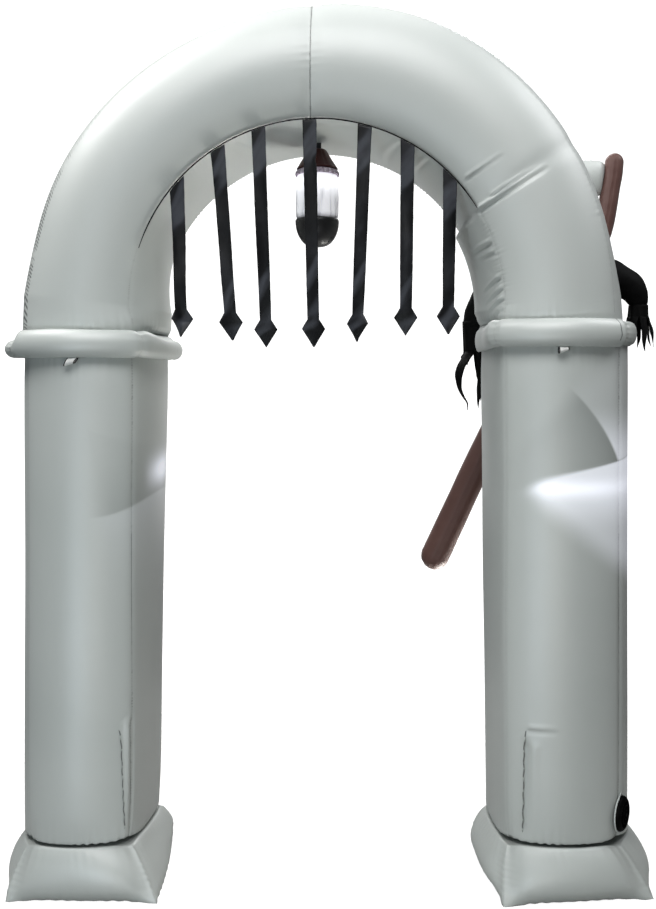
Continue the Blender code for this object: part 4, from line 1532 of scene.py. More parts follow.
@dataclass
class Lantern:
    """The lantern under the crown: cap, gathered skirt, lit body and bowl. Outlines are radius and height."""

    cap_cloth: Material
    lace: Material
    lit_cloth: Material
    bowl_cloth: Material
    sides: int = 72
    gores: int = 6
    cap: Outline = (
        (0.002, 2.2340), (0.020, 2.2340), (0.027, 2.2315), (0.032, 2.2260), (0.042, 2.209), (0.054, 2.1895),
        (0.0625, 2.1755), (0.0660, 2.1705), (0.0640, 2.1690), (0.0590, 2.1686), (0.002, 2.1686))
    skirt: Outline = (
        (0.0560, 2.1680), (0.0630, 2.1665), (0.0665, 2.1640), (0.0680, 2.1590), (0.0680, 2.1535),
        (0.0672, 2.1535), (0.0668, 2.1590), (0.0640, 2.1620))
    body: Outline = (
        (0.002, 2.1510), (0.0600, 2.1510), (0.0650, 2.1460), (0.0668, 2.1380), (0.0680, 2.110), (0.0684, 2.081),
        (0.0680, 2.050), (0.0672, 2.0260), (0.0655, 2.0160), (0.0635, 2.0135), (0.002, 2.0135))
    bowl: Outline = (
        (0.002, 2.0130), (0.0650, 2.0130), (0.0690, 2.0090), (0.0690, 2.0000), (0.0665, 1.9810),
        (0.0610, 1.9640), (0.0520, 1.9480), (0.0400, 1.9350), (0.0250, 1.9275), (0.0100, 1.9252),
        (0.001, 1.9250))

    def _gore(self, turn: float, share: float) -> Pair:
        """Returns the dip of the cap's seams and the small waves between them."""
        seam = abs(((turn * self.gores / tau) % 1.0) - 0.5) * 2
        full = sin(pi * share)
        return ((0.0012 * uneven(turn * 3, share * 6, 2.0) - 0.0028 * bell(1 - seam, 0.12)) * full, 0.0)

    def _scallop(self, turn: float, share: float) -> Pair:
        """Returns the gathers of the lace and its scalloped hem."""
        low = max(0.0, 1 - abs(share - 0.57) / 0.45)
        hem = abs(sin(turn * 7))
        return (0.0016 * sin(turn * 42) * low, -0.0075 * hem * low ** 1.5)

    def _fold(self, turn: float, share: float) -> Pair:
        """Returns the slack upright folds of the body."""
        full = sin(pi * share)
        return (0.0016 * full * uneven(cos(turn) * 3, sin(turn) * 3, share * 1.4), 0.0)

    def _seamed(self, turn: float, share: float) -> Pair:
        """Returns the bowl's seams."""
        seam = abs(((turn * 4 / tau) % 1.0) - 0.5) * 2
        full = sin(pi * share) ** 2
        return (-0.0016 * bell(1 - seam, 0.08) * full, 0.0)

    def _spun(self, outline: Outline, sides: int, wave: Wave) -> Mesh:
        """Returns an outline turned about the lantern's axis."""
        data = Skin(turned(finer(outline, 3), sides, wave)).mesh()
        bmesh.ops.translate(data, vec=(LANTERN_X, 0, 0), verts=data.verts)
        return data

    def build(self) -> None:
        """Builds the four pieces of the lantern."""
        pieces = (
            ("cap", self.cap, self._gore, self.cap_cloth, "brown_cloth"),
            ("body", self.body, self._fold, self.lit_cloth, "clear_sheet"),
            ("bowl", self.bowl, self._seamed, self.bowl_cloth, "black_cloth"))
        for word, outline, wave, cloth, slot in pieces:
            data = self._spun(outline, self.sides, wave)
            node = f"lantern_{word}"
            Piece(f"{node}_cloth", slot, cloth, [node]).finish(data)
        data = self._spun(self.skirt, self.sides * 3, self._scallop)
        Piece("lantern_skirt_lace", "gathered_sheer", self.lace, ["lantern_skirt"]).finish(data)
        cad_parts["lantern_strap"].data.materials.clear()
        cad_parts["lantern_strap"].data.materials.append(self.bowl_cloth)


# -------------------- Small pieces sewn on --------------------


@dataclass
class TetherLoop:
    """A loop of webbing that hangs under a collar."""

    half: TubeHalf
    x: float
    webbing: Material
    drop: float
    lean: float  # how far its foot hangs to the side
    tilt: float  # how much higher its right edge is
    width: float = 0.030
    depth: float = 0.020
    thick: float = 0.0018

    def build(self) -> None:
        """Builds the loop."""
        half = self.half
        y = -(half.half_depth + half.face_bulge * half.collar_fill + half.collar_reach * 0.42)
        top = half.collar_z - half.collar_half_height - GAP - self.thick

        def place(across: float, along: float) -> Vector:
            """Works out a point of the webbing.

            Args:
                across: Its share across.
                along: Its share along.

            Returns:
                The point.
            """
            turn = radians(between(104, 436, along))
            low = (1 - sin(turn)) / 2
            x = self.x + (across - 0.5) * self.width + self.lean * low
            tilt = (across - 0.5) * self.tilt * low
            return Vector((x, y + self.depth / 2 * cos(turn) * (0.75 + 0.25 * low),
                           top - self.drop / 2 * (1 - sin(turn)) + tilt))

        data = bmesh.new()
        length = pi * (self.drop + self.depth) / 2
        lay_grid(data, 8, 44, (self.width, length), place)
        thicken(data, self.thick)
        node = f"tether_loop_{half.side.word}"
        Piece(f"{node}_webbing", "white_webbing", self.webbing, [node]).finish(data)


@dataclass
class ZipFlap:
    """The strip of cloth over a zip, sewn down flush on its inner side, with a free lip along its slit."""

    half: TubeHalf
    slit_low: float  # how far the slit is from the front inner seam, at its foot and its top
    slit_high: float
    lip: float  # how far the lip stands up
    cloth: Material
    width: float = 0.020
    low: float = 0.190
    high: float = 0.490
    base: float = 0.0006
    thick: float = 0.0010
    _leg: BVHTree | None = None

    def face(self, out: float, z: float) -> float:
        """Returns the depth of the leg's own face at this distance out and height."""
        start = CENTRE + Vector((self.half.side.value * out, -1.0, z))
        return self._leg.ray_cast(start, Vector((0, 1, 0)))[0].y - CENTRE.y

    def build(self) -> None:
        """Builds the flap."""
        half = self.half
        leg = bpy.data.objects[f"leg_{half.side.word}_skin"]
        self._leg = BVHTree.FromObject(leg, bpy.context.evaluated_depsgraph_get())

        def place(across: float, along: float) -> Vector:
            """Works out a point of the strip.

            Args:
                across: Its share across.
                along: Its share along.

            Returns:
                The point.
            """
            ends = eased(min(along, 1 - along), 0.0, 0.10)
            wave = ripple(along * (self.high - self.low), 0.042, self.lip * 900)
            # the lip stands up and rolls a little back, and the sewn side lies flush in the leg
            lift = across ** 2.4
            rise = self.lip * ends * (1 + 0.35 * wave) * lift - 0.0007 * (1 - lift) - 0.0006 * (1 - ends)
            slit = between(self.slit_low, self.slit_high, along) + 0.0016 * ends * wave
            slit += 0.004 * bell(1 - along, 0.07)
            out = half.inner + slit - self.width * (1 - across) - 0.0020 * ends * bell(1 - across, 0.12)
            z = between(self.low, self.high, along)
            return Vector((half.side.value * out, self.face(out, z) - self.base - rise, z))

        data = bmesh.new()
        lay_grid(data, 16, 90, (self.width, self.high - self.low), place)
        thicken(data, self.thick)
        node = f"zip_flap_{half.side.word}"
        made = Piece(f"{node}_cloth", "grey_cloth", self.cloth, [node]).finish(data)


@dataclass
class Blower:
    """The blower's domed grille and the gathered rim round it, on the front outer edge of a leg."""

    half: TubeHalf
    plastic: Material
    cloth: Material
    z: float = 0.213
    sides: int = 96
    cad_steps: int = 6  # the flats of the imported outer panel
    slots: int = 20
    # Turned outlines about the blower's axis: radius and height off the cloth
    grille: Outline = (
        (0.046, 0.000), (0.0494, 0.004), (0.0490, 0.010), (0.043, 0.0155), (0.028, 0.0190), (0.011, 0.0205),
        (0.001, 0.0207))
    rim: Outline = (
        (0.0500, 0.0004), (0.0513, 0.0002), (0.0528, 0.0010), (0.0530, 0.0026), (0.0521, 0.0044),
        (0.0510, 0.0048), (0.0500, 0.0038), (0.0500, 0.0004))
    point: float = 0.010  # how far the rim's cloth is drawn up into a point over the grille
    turned_out: float = radians(5.5)  # how much more than the cloth under it the blower faces the front
    shift: Triple = (-0.019, -0.026, 0.015)

    def _slot(self, turn: float, share: float) -> Pair:
        """Returns how deep the grille's slots are sunk between its ribs and rings."""
        ribs = eased(abs(sin(turn * self.slots / 2)), 0.25, 0.55)
        rings = eased(abs(sin(share * pi * 5)), 0.20, 0.55)
        inside = eased(share, 0.36, 0.46) * eased(1 - share, 0.06, 0.14)
        return (0.0, -0.0042 * ribs * rings * inside)

    def _pucker(self, turn: float, share: float) -> Pair:
        """Returns the gathers of the rim."""
        outer = sin(pi * share) ** 2
        wave = ripple(turn * 0.058, 0.017, 4.5)
        up = bell(abs(turn - pi / 2), 0.20)
        return ((0.0022 * wave + self.point * up) * outer, 0.0014 * ripple(turn * 0.058, 0.011, 8.5) * outer)

    def build(self) -> None:
        """Builds the grille and the rim on the flat of the outer panel next to the front seam."""
        half = self.half
        half_turn = 2 * atan2(2 * half.outer_bulge, 2 * half.half_depth)
        radius = half.half_depth / sin(half_turn)
        turn = half_turn * (1 - 1 / self.cad_steps)
        facing = Vector((cos(turn), -sin(turn), 0))
        turned_out = Matrix.Rotation(-self.turned_out, 3, "Z") @ facing
        middle = Vector((half.outer + half.outer_bulge - radius, 0, self.z))
        seat = middle + facing * (radius * cos(half_turn / self.cad_steps) + GAP) + Vector(self.shift)
        onto = Matrix.Translation(seat) @ turned_out.to_track_quat("Z", "Y").to_matrix().to_4x4()
        grille = Skin(turned(finer(self.grille, 8), self.sides, self._slot)).mesh()
        rim = Skin(turned(finer(self.rim, 3)[:-1], self.sides, self._pucker))
        rows = (("blower_grille", grille, self.plastic, "black_plastic"),
                ("blower_rim", self._ring(rim), self.cloth, "grey_cloth"))
        for node, data, finish, slot in rows:
            bmesh.ops.transform(data, matrix=onto, verts=data.verts)
            Piece(f"{node}_piece", slot, finish, [node]).finish(data)

    def _ring(self, skin: Skin) -> Mesh:
        """Joins a skin's last section to its first, instead of closing both.

        Args:
            skin: The skin.

        Returns:
            The ring.
        """
        data = skin.mesh()
        caps = [face for face in data.faces if len(face.verts) > 4]
        rims = [edge for face in caps for edge in face.edges]
        bmesh.ops.delete(data, geom=caps, context="FACES_ONLY")
        for edge in rims:
            edge.smooth = True
        bmesh.ops.bridge_loops(data, edges=rims)
        bmesh.ops.recalc_face_normals(data, faces=data.faces)
        return data


# -------------------- The figure --------------------


class Strip(NamedTuple):
    """One torn strip of a cuff: its length, how far its end drifts and how far it bows out on the way."""

    length: float
    drift_x: float
    drift_y: float
    bow: float = 0.004


@dataclass
class Cuff:
    """A skirt of cloth under an arm's open end, torn into long tapering strips."""

    name: str
    top: Triple  # X, height and radius
    foot: Triple
    strips: tuple[Strip, ...]
    cloth: Material
    depth: float = 0.455
    thick: float = 0.0018
    taper: float = 0.80

    def skirt(self, across: float, along: float) -> Vector:
        """Returns the point at these shares round and down the skirt."""
        turn = tau * across
        x, z, r = (between(top, foot, along) for top, foot in zip(self.top, self.foot))
        r *= 1 + along * (0.07 * sin(turn * len(self.strips)) + 0.05 * sin(turn * 2 + 1.0))
        return Vector((x + r * cos(turn), self.depth + r * sin(turn), z))

    def strip(self, number: int, across: float, along: float) -> Vector:
        """Works out a point of a torn strip, which leaves the skirt's edge.

        Args:
            number: The strip's number.
            across: The point's share across it.
            along: The point's share down it.

        Returns:
            The point.
        """
        strip, count = self.strips[number], len(self.strips)
        middle = tau * (number + 0.5) / count
        wide = tau / count * self.foot[2]
        out = Vector((cos(middle), sin(middle), 0))
        way = Vector((-out.y, out.x, 0))
        taper = max(0.0, 1 - along) ** self.taper
        # its sides are torn unevenly, and its end swings and curls
        torn = 0.12 * wide * uneven(along * 7, number * 3.0, copysign(2, across - 0.5)) * taper
        edge = (across - 0.5) * max(wide * taper, 0.0012) + torn
        lie = self.skirt((number + 0.5 + edge / wide) / count, 1.0) + Vector((0, 0, 0.004))
        flat = self.skirt((number + 0.5) / count, 1.0) + way * edge + Vector((0, 0, 0.004))
        start = lie.lerp(flat, eased(along, 0.0, 0.25))
        sway = Vector((strip.drift_x, strip.drift_y, 0)) * along ** 1.5
        sway += out * (strip.bow * sin(pi * min(1.0, along * 1.15)))
        sway += way * 0.010 * uneven(along * 2.5, number * 1.7, 5.0) * along
        fold = out * 0.5 * edge * sin(4 * along + number) * eased(along, 0.1, 0.5)
        return start + sway + fold - Vector((0, 0, strip.length * along))

    def build(self) -> None:
        round_about = tau * self.foot[2]
        drop = self.top[1] - self.foot[1]
        wide = round_about / len(self.strips)
        data = bmesh.new()
        lay_grid(data, len(self.strips) * 8, 10, (round_about, drop), self.skirt)
        area = round_about * drop
        for number, strip in enumerate(self.strips):
            lay_grid(data, 6, 26, (wide, strip.length), partial(self.strip, number))
            area += wide * strip.length / (1 + self.taper)
        thicken(data, self.thick)
        node = f"cuff_{self.name}"
        made = Piece(f"{node}_cloth", "black_cloth", self.cloth, [node]).finish(data)
        longest = max(strip.length for strip in self.strips)


@dataclass
class Robe:
    """The figure's robe, blown up as one piece with both arms, with slack folds down its far side."""

    cloth: Material
    voxel: float = 0.009
    soften: int = 4
    fold: float = 0.010
    fold_pitch: float = 0.085
    leg_side: float = 0.288  # nearer than this the cloth lies flat on the leg

    def build(self) -> None:
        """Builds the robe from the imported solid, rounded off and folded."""
        data = self._rounded()
        data.normal_update()
        moves = [(corner, corner.normal * self._lift(corner)) for corner in data.verts]
        for corner, move in moves:
            corner.co += move
        self._map(data)
        Piece("robe_cloth", "black_cloth", self.cloth, ["robe"]).finish(data, placed=True)

    def _rounded(self) -> Mesh:
        """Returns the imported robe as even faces, with its edges rounded off."""
        source = bmesh.new()
        source.from_mesh(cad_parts["robe"].data)
        bmesh.ops.remove_doubles(source, verts=source.verts, dist=1e-5)
        holder = add_mesh("robe_even", source)
        even = holder.modifiers.new("Even", "REMESH")
        even.mode = "VOXEL"
        even.voxel_size = self.voxel
        data = bmesh.new()
        data.from_object(holder, bpy.context.evaluated_depsgraph_get())
        bpy.data.objects.remove(holder)
        axes = {f"use_axis_{axis}": True for axis in "xyz"}
        for _ in range(self.soften):
            bmesh.ops.smooth_vert(data, verts=data.verts, factor=0.5, **axes)
        bmesh.ops.recalc_face_normals(data, faces=data.faces)
        return data

    def _lift(self, corner: bmesh.types.BMVert) -> float:
        """Works out how far the cloth stands out at a point.

        Args:
            corner: The point, in the frame's place.

        Returns:
            The rise of its folds.
        """
        point = corner.co - CENTRE
        free = eased(point.y, self.leg_side, self.leg_side + 0.08) * eased(corner.normal.y, -0.5, 0.1)
        sway = 0.03 * uneven(point.z * 2.0, 3.0, 0.0)
        folds = ripple(point.x + sway, self.fold_pitch, point.z * 0.35)
        low = 0.35 + 0.65 * eased(2.05 - point.z, 0.0, 0.35)
        small = 0.0022 * noise.noise(point * 26.0)
        return free * (self.fold * 0.6 * folds * low) + small

    def _map(self, data: Mesh) -> None:
        """Lays a UV map of upright cloth on the robe, in metres.

        Args:
            data: The robe.
        """
        uv = data.loops.layers.uv.new("cloth")
        for face in data.faces:
            for loop in face.loops:
                point = loop.vert.co
                loop[uv].uv = (point.x + point.y, point.z)


@dataclass
class Scythe:
    """The blown-up pole across the far side of the robe, and the blade at its top."""

    pole_cloth: Material
    blade_cloth: Material
    # X, height and radius of the pole's middle
    pole_rows: tuple[Triple, ...] = (
        (0.411, 0.838, 0.053), (0.632, 1.304, 0.051), (0.842, 1.690, 0.046), (1.030, 2.031, 0.038),
        (1.080, 2.255, 0.035), (1.088, 2.322, 0.035))
    # X, height of the middle, half height and half thickness of the blade
    blade_rows: tuple[tuple[float, float, float, float], ...] = (
        (1.0432, 2.256, 0.058, 0.014), (1.024, 2.258, 0.070, 0.028), (0.960, 2.256, 0.073, 0.036),
        (0.860, 2.256, 0.070, 0.036), (0.770, 2.244, 0.056, 0.030), (0.700, 2.226, 0.036, 0.020),
        (0.665, 2.212, 0.014, 0.010))
    blade_lean: float = 0.15
    robe_far: float = 0.560
    sides: int = 40
    steps: int = 130
    blade_steps: int = 64

    @property
    def depth(self) -> float:
        """Returns the depth of the pole's middle."""
        return self.robe_far + self.pole_rows[2][2] + GAP

    def pole(self) -> None:
        """Builds the pole, with round ends, a seam on both sides and puckers where it bends."""
        far = measured([Vector((x, z)) for x, z, _ in self.pole_rows])
        rows = [(at, *row) for at, row in zip(far, self.pole_rows)]
        points = [on_rows(rows, far[-1] * i / self.steps) for i in range(self.steps + 1)]
        line = [Vector((x, self.depth, z)) for x, z, _ in points]
        radii = [r for _, _, r in points]
        caps = [radians(a) for a in (12, 26, 40, 54, 66, 76, 84, 89)]
        ends = []
        for end, step in ((0, 1), (-1, -2)):
            out = (line[end] - line[step]).normalized() * radii[end]
            ends.append([(line[end] + out * sin(a), radii[end] * cos(a)) for a in caps])
        line, radii = zip(*reversed(ends[0]), *zip(line, radii), *ends[1])
        sections = []
        for i, (point, radius) in enumerate(zip(line, radii)):
            along = (line[min(i + 1, len(line) - 1)] - line[max(i - 1, 0)]).normalized()
            side = Vector((along.z, 0, -along.x))
            sections.append([point + (side * cos(t) + Vector((0, 1, 0)) * sin(t)) * radius
                             for t in circle(self.sides)])

        def relief(spot: Spot) -> float:
            """Works out the seam's dip, the puckers beside it and the slack rings where the pole bends.

            Args:
                spot: The place on the skin.

            Returns:
                How far the cloth stands out.
            """
            bend = bell(spot.along - (far[3] + 0.04), 0.07) + 0.5 * bell(spot.along - 0.06, 0.06)
            rings = 0.0022 * bend * ripple(spot.along, 0.020, 2.5)
            seam = -0.0030 * bell(spot.seam, 0.005)
            seam += 0.0012 * exp(-spot.seam / 0.012) * ripple(spot.along, 0.016, 6.5)
            ends = eased(min(spot.start, spot.end), 0.0, 0.05)
            return seam * ends + rings + 0.0016 * noise.noise(spot.point * 12.0)

        skin = Skin(sections, (self.sides // 4, self.sides * 3 // 4), relief)
        made = Piece("scythe_pole_cloth", "brown_cloth", self.pole_cloth, ["scythe_pole"]).finish(skin.mesh())

    def blade(self) -> None:
        """Builds the blade: a flat pillow with a seam round its edge."""
        # read from the point to the heel, because a table's first column rises
        rows = self.blade_rows[::-1]
        sections = []
        for step in range(self.blade_steps + 1):
            x = between(rows[0][0], rows[-1][0], step / self.blade_steps)
            z, half_height, half_thick = on_rows(rows, x)
            section = []
            for turn in circle(self.sides):
                rise = half_height * sin(turn)
                lean = self.blade_lean * rise * eased(x, 0.98, 1.03)
                section.append(Vector((x + lean, self.depth + half_thick * cos(turn), z + rise)))
            sections.append(section)

        def relief(spot: Spot) -> float:
            """Returns the sunk seam along both edges and the puckers beside it."""
            away = eased(min(spot.start, spot.end), 0.0, 0.03)
            seam = -0.0030 * bell(spot.seam, 0.006)
            seam += 0.0024 * exp(-spot.seam / 0.020) * ripple(spot.along, 0.022, 3.5)
            return away * seam + 0.0030 * away * noise.noise(spot.point * 9.0)

        skin = Skin(sections, (self.sides // 4, self.sides * 3 // 4), relief)
        made = Piece("scythe_blade_cloth", "grey_cloth", self.blade_cloth, ["scythe_blade"]).finish(skin.mesh())

    def build(self) -> None:
        """Builds the pole and the blade."""
        self.pole()
        self.blade()


# -------------------- The studio --------------------


@dataclass(frozen=True)
class SoftBox:
    """A soft light: where it hangs from the point between the legs, what it looks at, its size and power."""

    name: str
    place: Triple
    aim: Triple
    size: Pair
    power: float
    colour: Colour = (1.0, 1.0, 1.0)
    spread: float = 180.0  # how widely it fans out, in degrees


@dataclass
class Studio:
    """The camera, the lights, the bright surroundings and the floor."""

    image_width: int = 656
    image_height: int = 909
    focal_px: float = 985.0
    level_point_px: Pair = (358.0, 372.0)  # where the level line of sight meets the image
    eye: Triple = (0.120, -3.115, 1.530)
    lights: tuple[SoftBox, ...] = (
        SoftBox("high_front_light", (0.0, -2.8, 4.4), (0.0, 0.0, 1.4), (3.0, 2.0), 103.0),
        SoftBox("high_left_light", (-2.4, -0.4, 4.5), (0.0, 0.0, 1.4), (1.8, 1.8), 90.0, (1.0, 0.99, 0.98)),
        SoftBox("high_right_light", (2.8, -0.2, 4.2), (0.0, 0.0, 1.4), (1.8, 1.8), 49.0, (0.97, 0.98, 1.0)),
        SoftBox("overhead_light", (0.0, 0.2, 5.0), (0.0, 0.0, 1.4), (2.8, 2.0), 26.0),
        SoftBox("high_back_light", (0.2, 2.8, 4.2), (0.0, 0.0, 1.4), (2.6, 1.4), 114.0),
        SoftBox("strip_light", (-0.85, -4.4, 1.4), (0.0, 0.0, 1.2), (0.6, 2.8), 9.0, (0.78, 0.91, 1.0)),
        SoftBox("low_left_light", (-1.15, -3.4, 0.10), (-0.1, 0.0, 0.9), (0.6, 0.5), 19.0, (0.80, 0.92, 1.0)),
        SoftBox("low_front_light", (0.3, -3.2, 0.35), (0.0, 0.0, 1.9), (1.6, 0.5), 12.0, (1.0, 0.97, 0.90)),
        SoftBox("low_back_light", (0.75, 0.90, 0.15), (-0.22, 0.0, 2.08), (0.5, 0.5), 2.2, (1.0, 0.98, 0.93),
                spread=44.0),
        SoftBox("doorway_light", (0.1, 3.6, 1.6), (0.0, 0.0, 1.2), (2.0, 2.4), 12.0))
    surround: float = 0.030  # how strongly the surroundings light the object
    shown: float = 1.40  # how bright they look, also through the floor
    sensor: float = 36.0
    floor_radius: float = 3.2
    floor_below: float = 0.0005

    def camera(self) -> None:
        """Makes the camera, level and square to the arch, with its frame shifted onto it."""
        data = bpy.data.cameras.new("camera")
        data.sensor_width = self.sensor
        data.lens = self.focal_px / self.image_height * self.sensor
        data.shift_x = (self.image_width / 2 - self.level_point_px[0]) / self.image_height
        data.shift_y = (self.level_point_px[1] - self.image_height / 2) / self.image_height
        made = add_object("camera", data)
        made.location = CENTRE + Vector(self.eye)
        made.rotation_euler = (pi / 2, 0, 0)
        bpy.context.scene.camera = made

    def light(self) -> None:
        """Makes the soft lights and the white surroundings, which light the object less than they show."""
        for box in self.lights:
            data = bpy.data.lights.new(box.name, "AREA")
            data.shape = "RECTANGLE"
            data.size, data.size_y = box.size
            data.energy = box.power
            data.color = box.colour
            data.spread = radians(box.spread)
            made = add_object(box.name, data)
            made.location = CENTRE + Vector(box.place)
            made.rotation_euler = (Vector(box.aim) - Vector(box.place)).to_track_quat("-Z", "Y").to_euler()
            made.visible_camera = False
        world = bpy.data.worlds.new("studio")
        world.use_nodes = True
        bpy.context.scene.world = world
        nodes = Nodes(world.node_tree)
        seen = nodes.node("LightPath", {}, {}, "Is Camera Ray")
        strength = seen * self.shown + (1.0 - seen) * self.surround
        white = nodes.node("Background", {}, {"Color": (1.0, 1.0, 1.0), "Strength": strength})
        nodes.node("OutputWorld", {}, {"Surface": white})

    def floor(self) -> None:
        """Makes the floor, which isn't part of the object."""
        data = bmesh.new()
        bmesh.ops.create_circle(data, cap_ends=True, segments=96, radius=self.floor_radius)
        made = add_mesh("studio_floor", data)
        made.data.materials.append(StudioFloor().material("studio_floor"))
        made.location.z = -self.floor_below

    def build(self) -> None:
        """Sets up the whole studio."""
        bpy.context.scene.view_settings.view_transform = "Standard"
        self.camera()
        self.light()
        self.floor()


def gathers(side: int, heights: Sequence[float]) -> tuple[Crease, ...]:
    """Returns the soft folds that cross the arch's underside at these heights, from its front seam back."""
    return tuple(Crease(Panel.INNER, (-0.20, z), (0.16, z - 0.006 * side), 0.006, 0.0030) for z in heights)


def tube_halves() -> list[TubeHalf]:
    """Builds both halves of the arch with their legs.

    Returns:
        The left half and the right half.
    """
    rows = (0.2, 0.3, 0.3, 0.3)
    cloth = BlownCloth(seam_rows=rows, cross_row_and_shade=0.7).material("blown_cloth")
    edge_dashes = BlownCloth(seam_rows=rows, cross_row_and_shade=0.7, edge_dashes=0.90).material("left_blown_cloth")
    plain = BlownCloth(seam_rows=(0.05, 0.05, 0.1, 0.1), cross_row_and_shade=0.3).material("plinth_cloth")
    collar = BlownCloth(seam_rows=(0.15, 3.0, 0.3, 0.3), cross_row_and_shade=0.6).material("collar_cloth")
    notched = BlownCloth(seam_rows=(0.15, 0.2, 0.3, 0.3), cross_row_and_shade=0.6, notch=(0.466, 0.038, 0.100))
    left_leg = BlownCloth(
        seam_rows=(0.75, 0.15, 0.3, 0.2), cross_row_and_shade=0.9,
        disc=LampDisc(-0.657, 1.362, 0.252, 0.130, 0.075, 0.0, 0.42, 0.110, (0.62, -0.78), (0.76, 0.93),
                      (0.28, 0.10)),
        spot=LampSpot(0.050, 1.222, 0.045, 0.55, (-0.74, -0.64))).material("left_leg_cloth")
    right_leg = BlownCloth(
        seam_rows=(0.08, 0.85, 0.3, 0.2), cross_row_and_shade=0.9,
        disc=LampDisc(0.289, 1.005, 0.650, 0.200, 0.050, 0.33, 0.60, 0.120, (0.90, 0.44), (0.925, 0.965),
                      (0.05, -0.12)),
        beam=LampBeam(0.599, 1.187, 0.030, 0.035, 0.180, 0.77, 1.0)).material("right_leg_cloth")
    left = TubeHalf(
        Side.LEFT, 0.542, 0.858, 0.867, 0.046, 1.612, 0.021, -0.004, 0.0,
        ((0.455, -0.285), (0.902, -0.275), (0.915, 0.255), (0.502, 0.225)), edge_dashes, left_leg, plain, collar,
        plinth_calm=0.85, foot_inner_bulge=0.068, back_seam_in=0.020,
        arch_creases=gathers(-1, (2.2597, 2.2154)),
        leg_creases=(
            Crease(Panel.FRONT, (-0.5500, 0.525), (-0.5490, 0.100), 0.0095, -0.0095),
            Crease(Panel.FRONT, (-0.5480, 0.522), (-0.5800, 0.500), 0.0060, 0.0030)))
    right = TubeHalf(
        Side.RIGHT, 0.551, 0.893, 0.880, 0.066, 1.644, 0.011, 0.002, 0.052,
        ((0.532, -0.305), (0.982, -0.262), (0.958, 0.265), (0.495, 0.170)), cloth, right_leg, plain,
        notched.material("right_collar_cloth"), back_seam_in=0.017, foot_inner_bulge=0.064,
        ridge_rise=0.0006, collar_outer=(0.58, 0.20, -0.003), collar_inner=(0.44, 0.14, 0.013),
        arch_creases=gathers(1, (2.2706, 2.2159, 2.1657)) + (
            Crease(Panel.FRONT, (0.466, 2.001), (0.672, 2.128), 0.0070, 0.0125),
            Crease(Panel.FRONT, (0.500, 2.040), (0.640, 2.122), 0.0055, 0.0070),
            Crease(Panel.FRONT, (0.432, 2.094), (0.540, 2.160), 0.0060, 0.0060),
            Crease(Panel.INNER, (-0.205, 1.915), (-0.060, 1.890), 0.0070, 0.0080),
            Crease(Panel.INNER, (-0.205, 1.885), (-0.100, 1.870), 0.0060, 0.0050),
            Crease(Panel.INNER, (-0.205, 1.812), (-0.090, 1.770), 0.0065, 0.0070),
            Crease(Panel.INNER, (-0.208, 1.780), (-0.110, 1.735), 0.0060, 0.0070),
            Crease(Panel.INNER, (-0.208, 1.750), (-0.120, 1.708), 0.0060, 0.0070),
            Crease(Panel.INNER, (-0.208, 1.722), (-0.140, 1.690), 0.0055, 0.0055)),
        leg_creases=(
            Crease(Panel.FRONT, (0.6080, 0.494), (0.7000, 0.497), 0.0080, 0.0045),
            Crease(Panel.FRONT, (0.6180, 0.470), (0.6180, 0.160), 0.0160, 0.0040)))
    for half in (left, right):
        half.build()
    return [left, right]


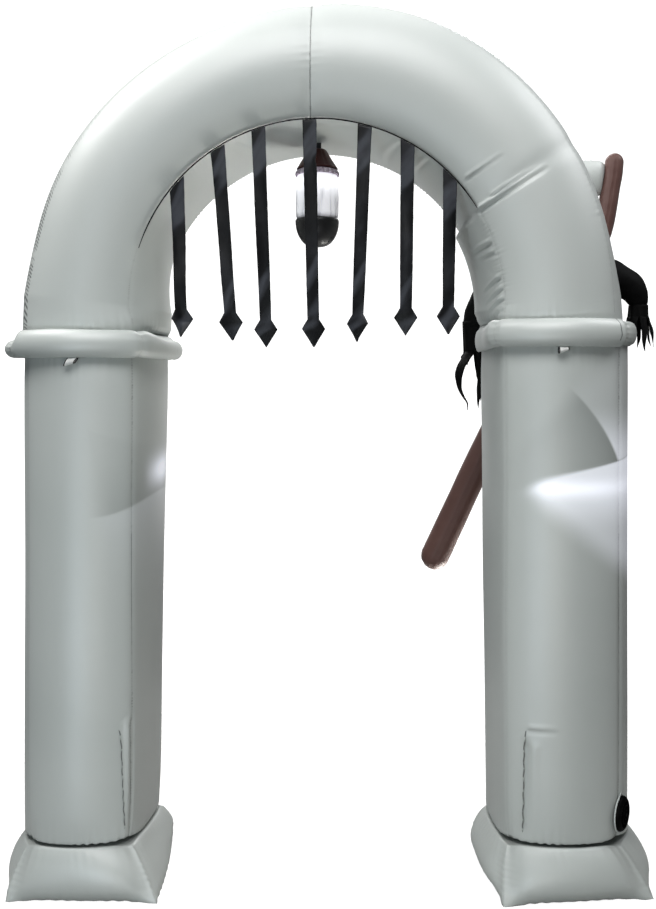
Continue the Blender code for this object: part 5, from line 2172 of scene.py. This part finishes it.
def figure(black: Material, brown: Material) -> None:
    """Builds the robed figure with its cuffs and scythe.

    Args:
        black: The robe's cloth.
        brown: The pole's cloth.
    """
    Robe(black).build()
    Cuff("inner", (0.554, 1.7130, 0.056), (0.552, 1.600, 0.046), (
        Strip(0.150, 0.006, 0.004), Strip(0.180, 0.012, 0.006), Strip(0.050, -0.002, 0.004),
        Strip(0.045, -0.002, 0.000), Strip(0.212, -0.014, 0.010, 0.070), Strip(0.205, -0.012, -0.004),
        Strip(0.140, 0.000, -0.004)), black).build()
    Cuff("outer", (1.136, 1.7720, 0.035), (1.136, 1.725, 0.036), (
        Strip(0.105, 0.014, 0.004), Strip(0.110, 0.004, 0.006), Strip(0.095, -0.004, 0.006),
        Strip(0.122, -0.012, 0.000), Strip(0.090, -0.004, -0.004), Strip(0.128, 0.006, -0.006),
        Strip(0.112, 0.018, -0.004)), black).build()
    Scythe(brown, BlownCloth().material("blade_cloth")).build()


def main() -> None:
    """Builds the studio, and then the object from its largest pieces to its smallest."""
    logging.basicConfig(level=logging.INFO, format="%(name)s: %(message)s")
    Studio().build()
    black_cloth = DarkCloth((0.0014, 0.0015, 0.0016), (0.0045, 0.0045, 0.0050), 0.7, roughness=0.70, sheen=0.0,
                            gloss=0.12, crumple=1.4)
    black = black_cloth.material("robe_cloth")
    ribbon = DarkCloth((0.0035, 0.0040, 0.0050), (0.060, 0.065, 0.078), 0.20, bands=0.80, gloss=0.20,
                       crumple=0.6)
    brown = DarkCloth((0.112, 0.055, 0.046), (0.150, 0.080, 0.068), 0.6, roughness=0.50, sheen=0.25,
                      crumple=0.5).material("pole_cloth")
    cap = DarkCloth((0.050, 0.010, 0.009), (0.095, 0.028, 0.024), 0.5, sheen=0.10, crumple=0.5)
    left, right = tube_halves()
    tape = DarkCloth((0.004, 0.004, 0.005), (0.015, 0.015, 0.017), gloss=0.10, crumple=0.3)
    Portcullis(tape.material("tape_cloth"), ribbon.material("bar_cloth")).build()
    Lantern(cap.material("cap_cloth"), Lace().material("skirt_lace"), LitSheet().material("lit_cloth"),
            DarkCloth((0.008, 0.008, 0.009), (0.030, 0.030, 0.033), crumple=0.4).material("bowl_cloth")).build()
    webbing = Webbing(0.030).material("loop_webbing")
    flap_left, flap_right = (BlownCloth(seam_rows=(0, 0, 0, 0), cross_row_and_shade=0, slit=wide).material(f"flap_{side}")
                             for side, wide in (("left", 0.012), ("right", 0.020)))
    rim_cloth = BlownCloth(seam_rows=(0, 0, 0, 0), cross_row_and_shade=0).material("rim_cloth")
    TetherLoop(left, -0.695, webbing, 0.017, -0.012, 0.008).build()
    TetherLoop(right, 0.708, webbing, 0.012, 0.000, 0.010).build()
    ZipFlap(left, 0.0215, 0.031, 0.0045, flap_left, 0.012).build()
    ZipFlap(right, 0.049, 0.054, 0.0080, flap_right).build()
    Blower(right, Moulded().material("grille_plastic"), rim_cloth).build()
    figure(black, brown)


if __name__ == "__main__":
    main()
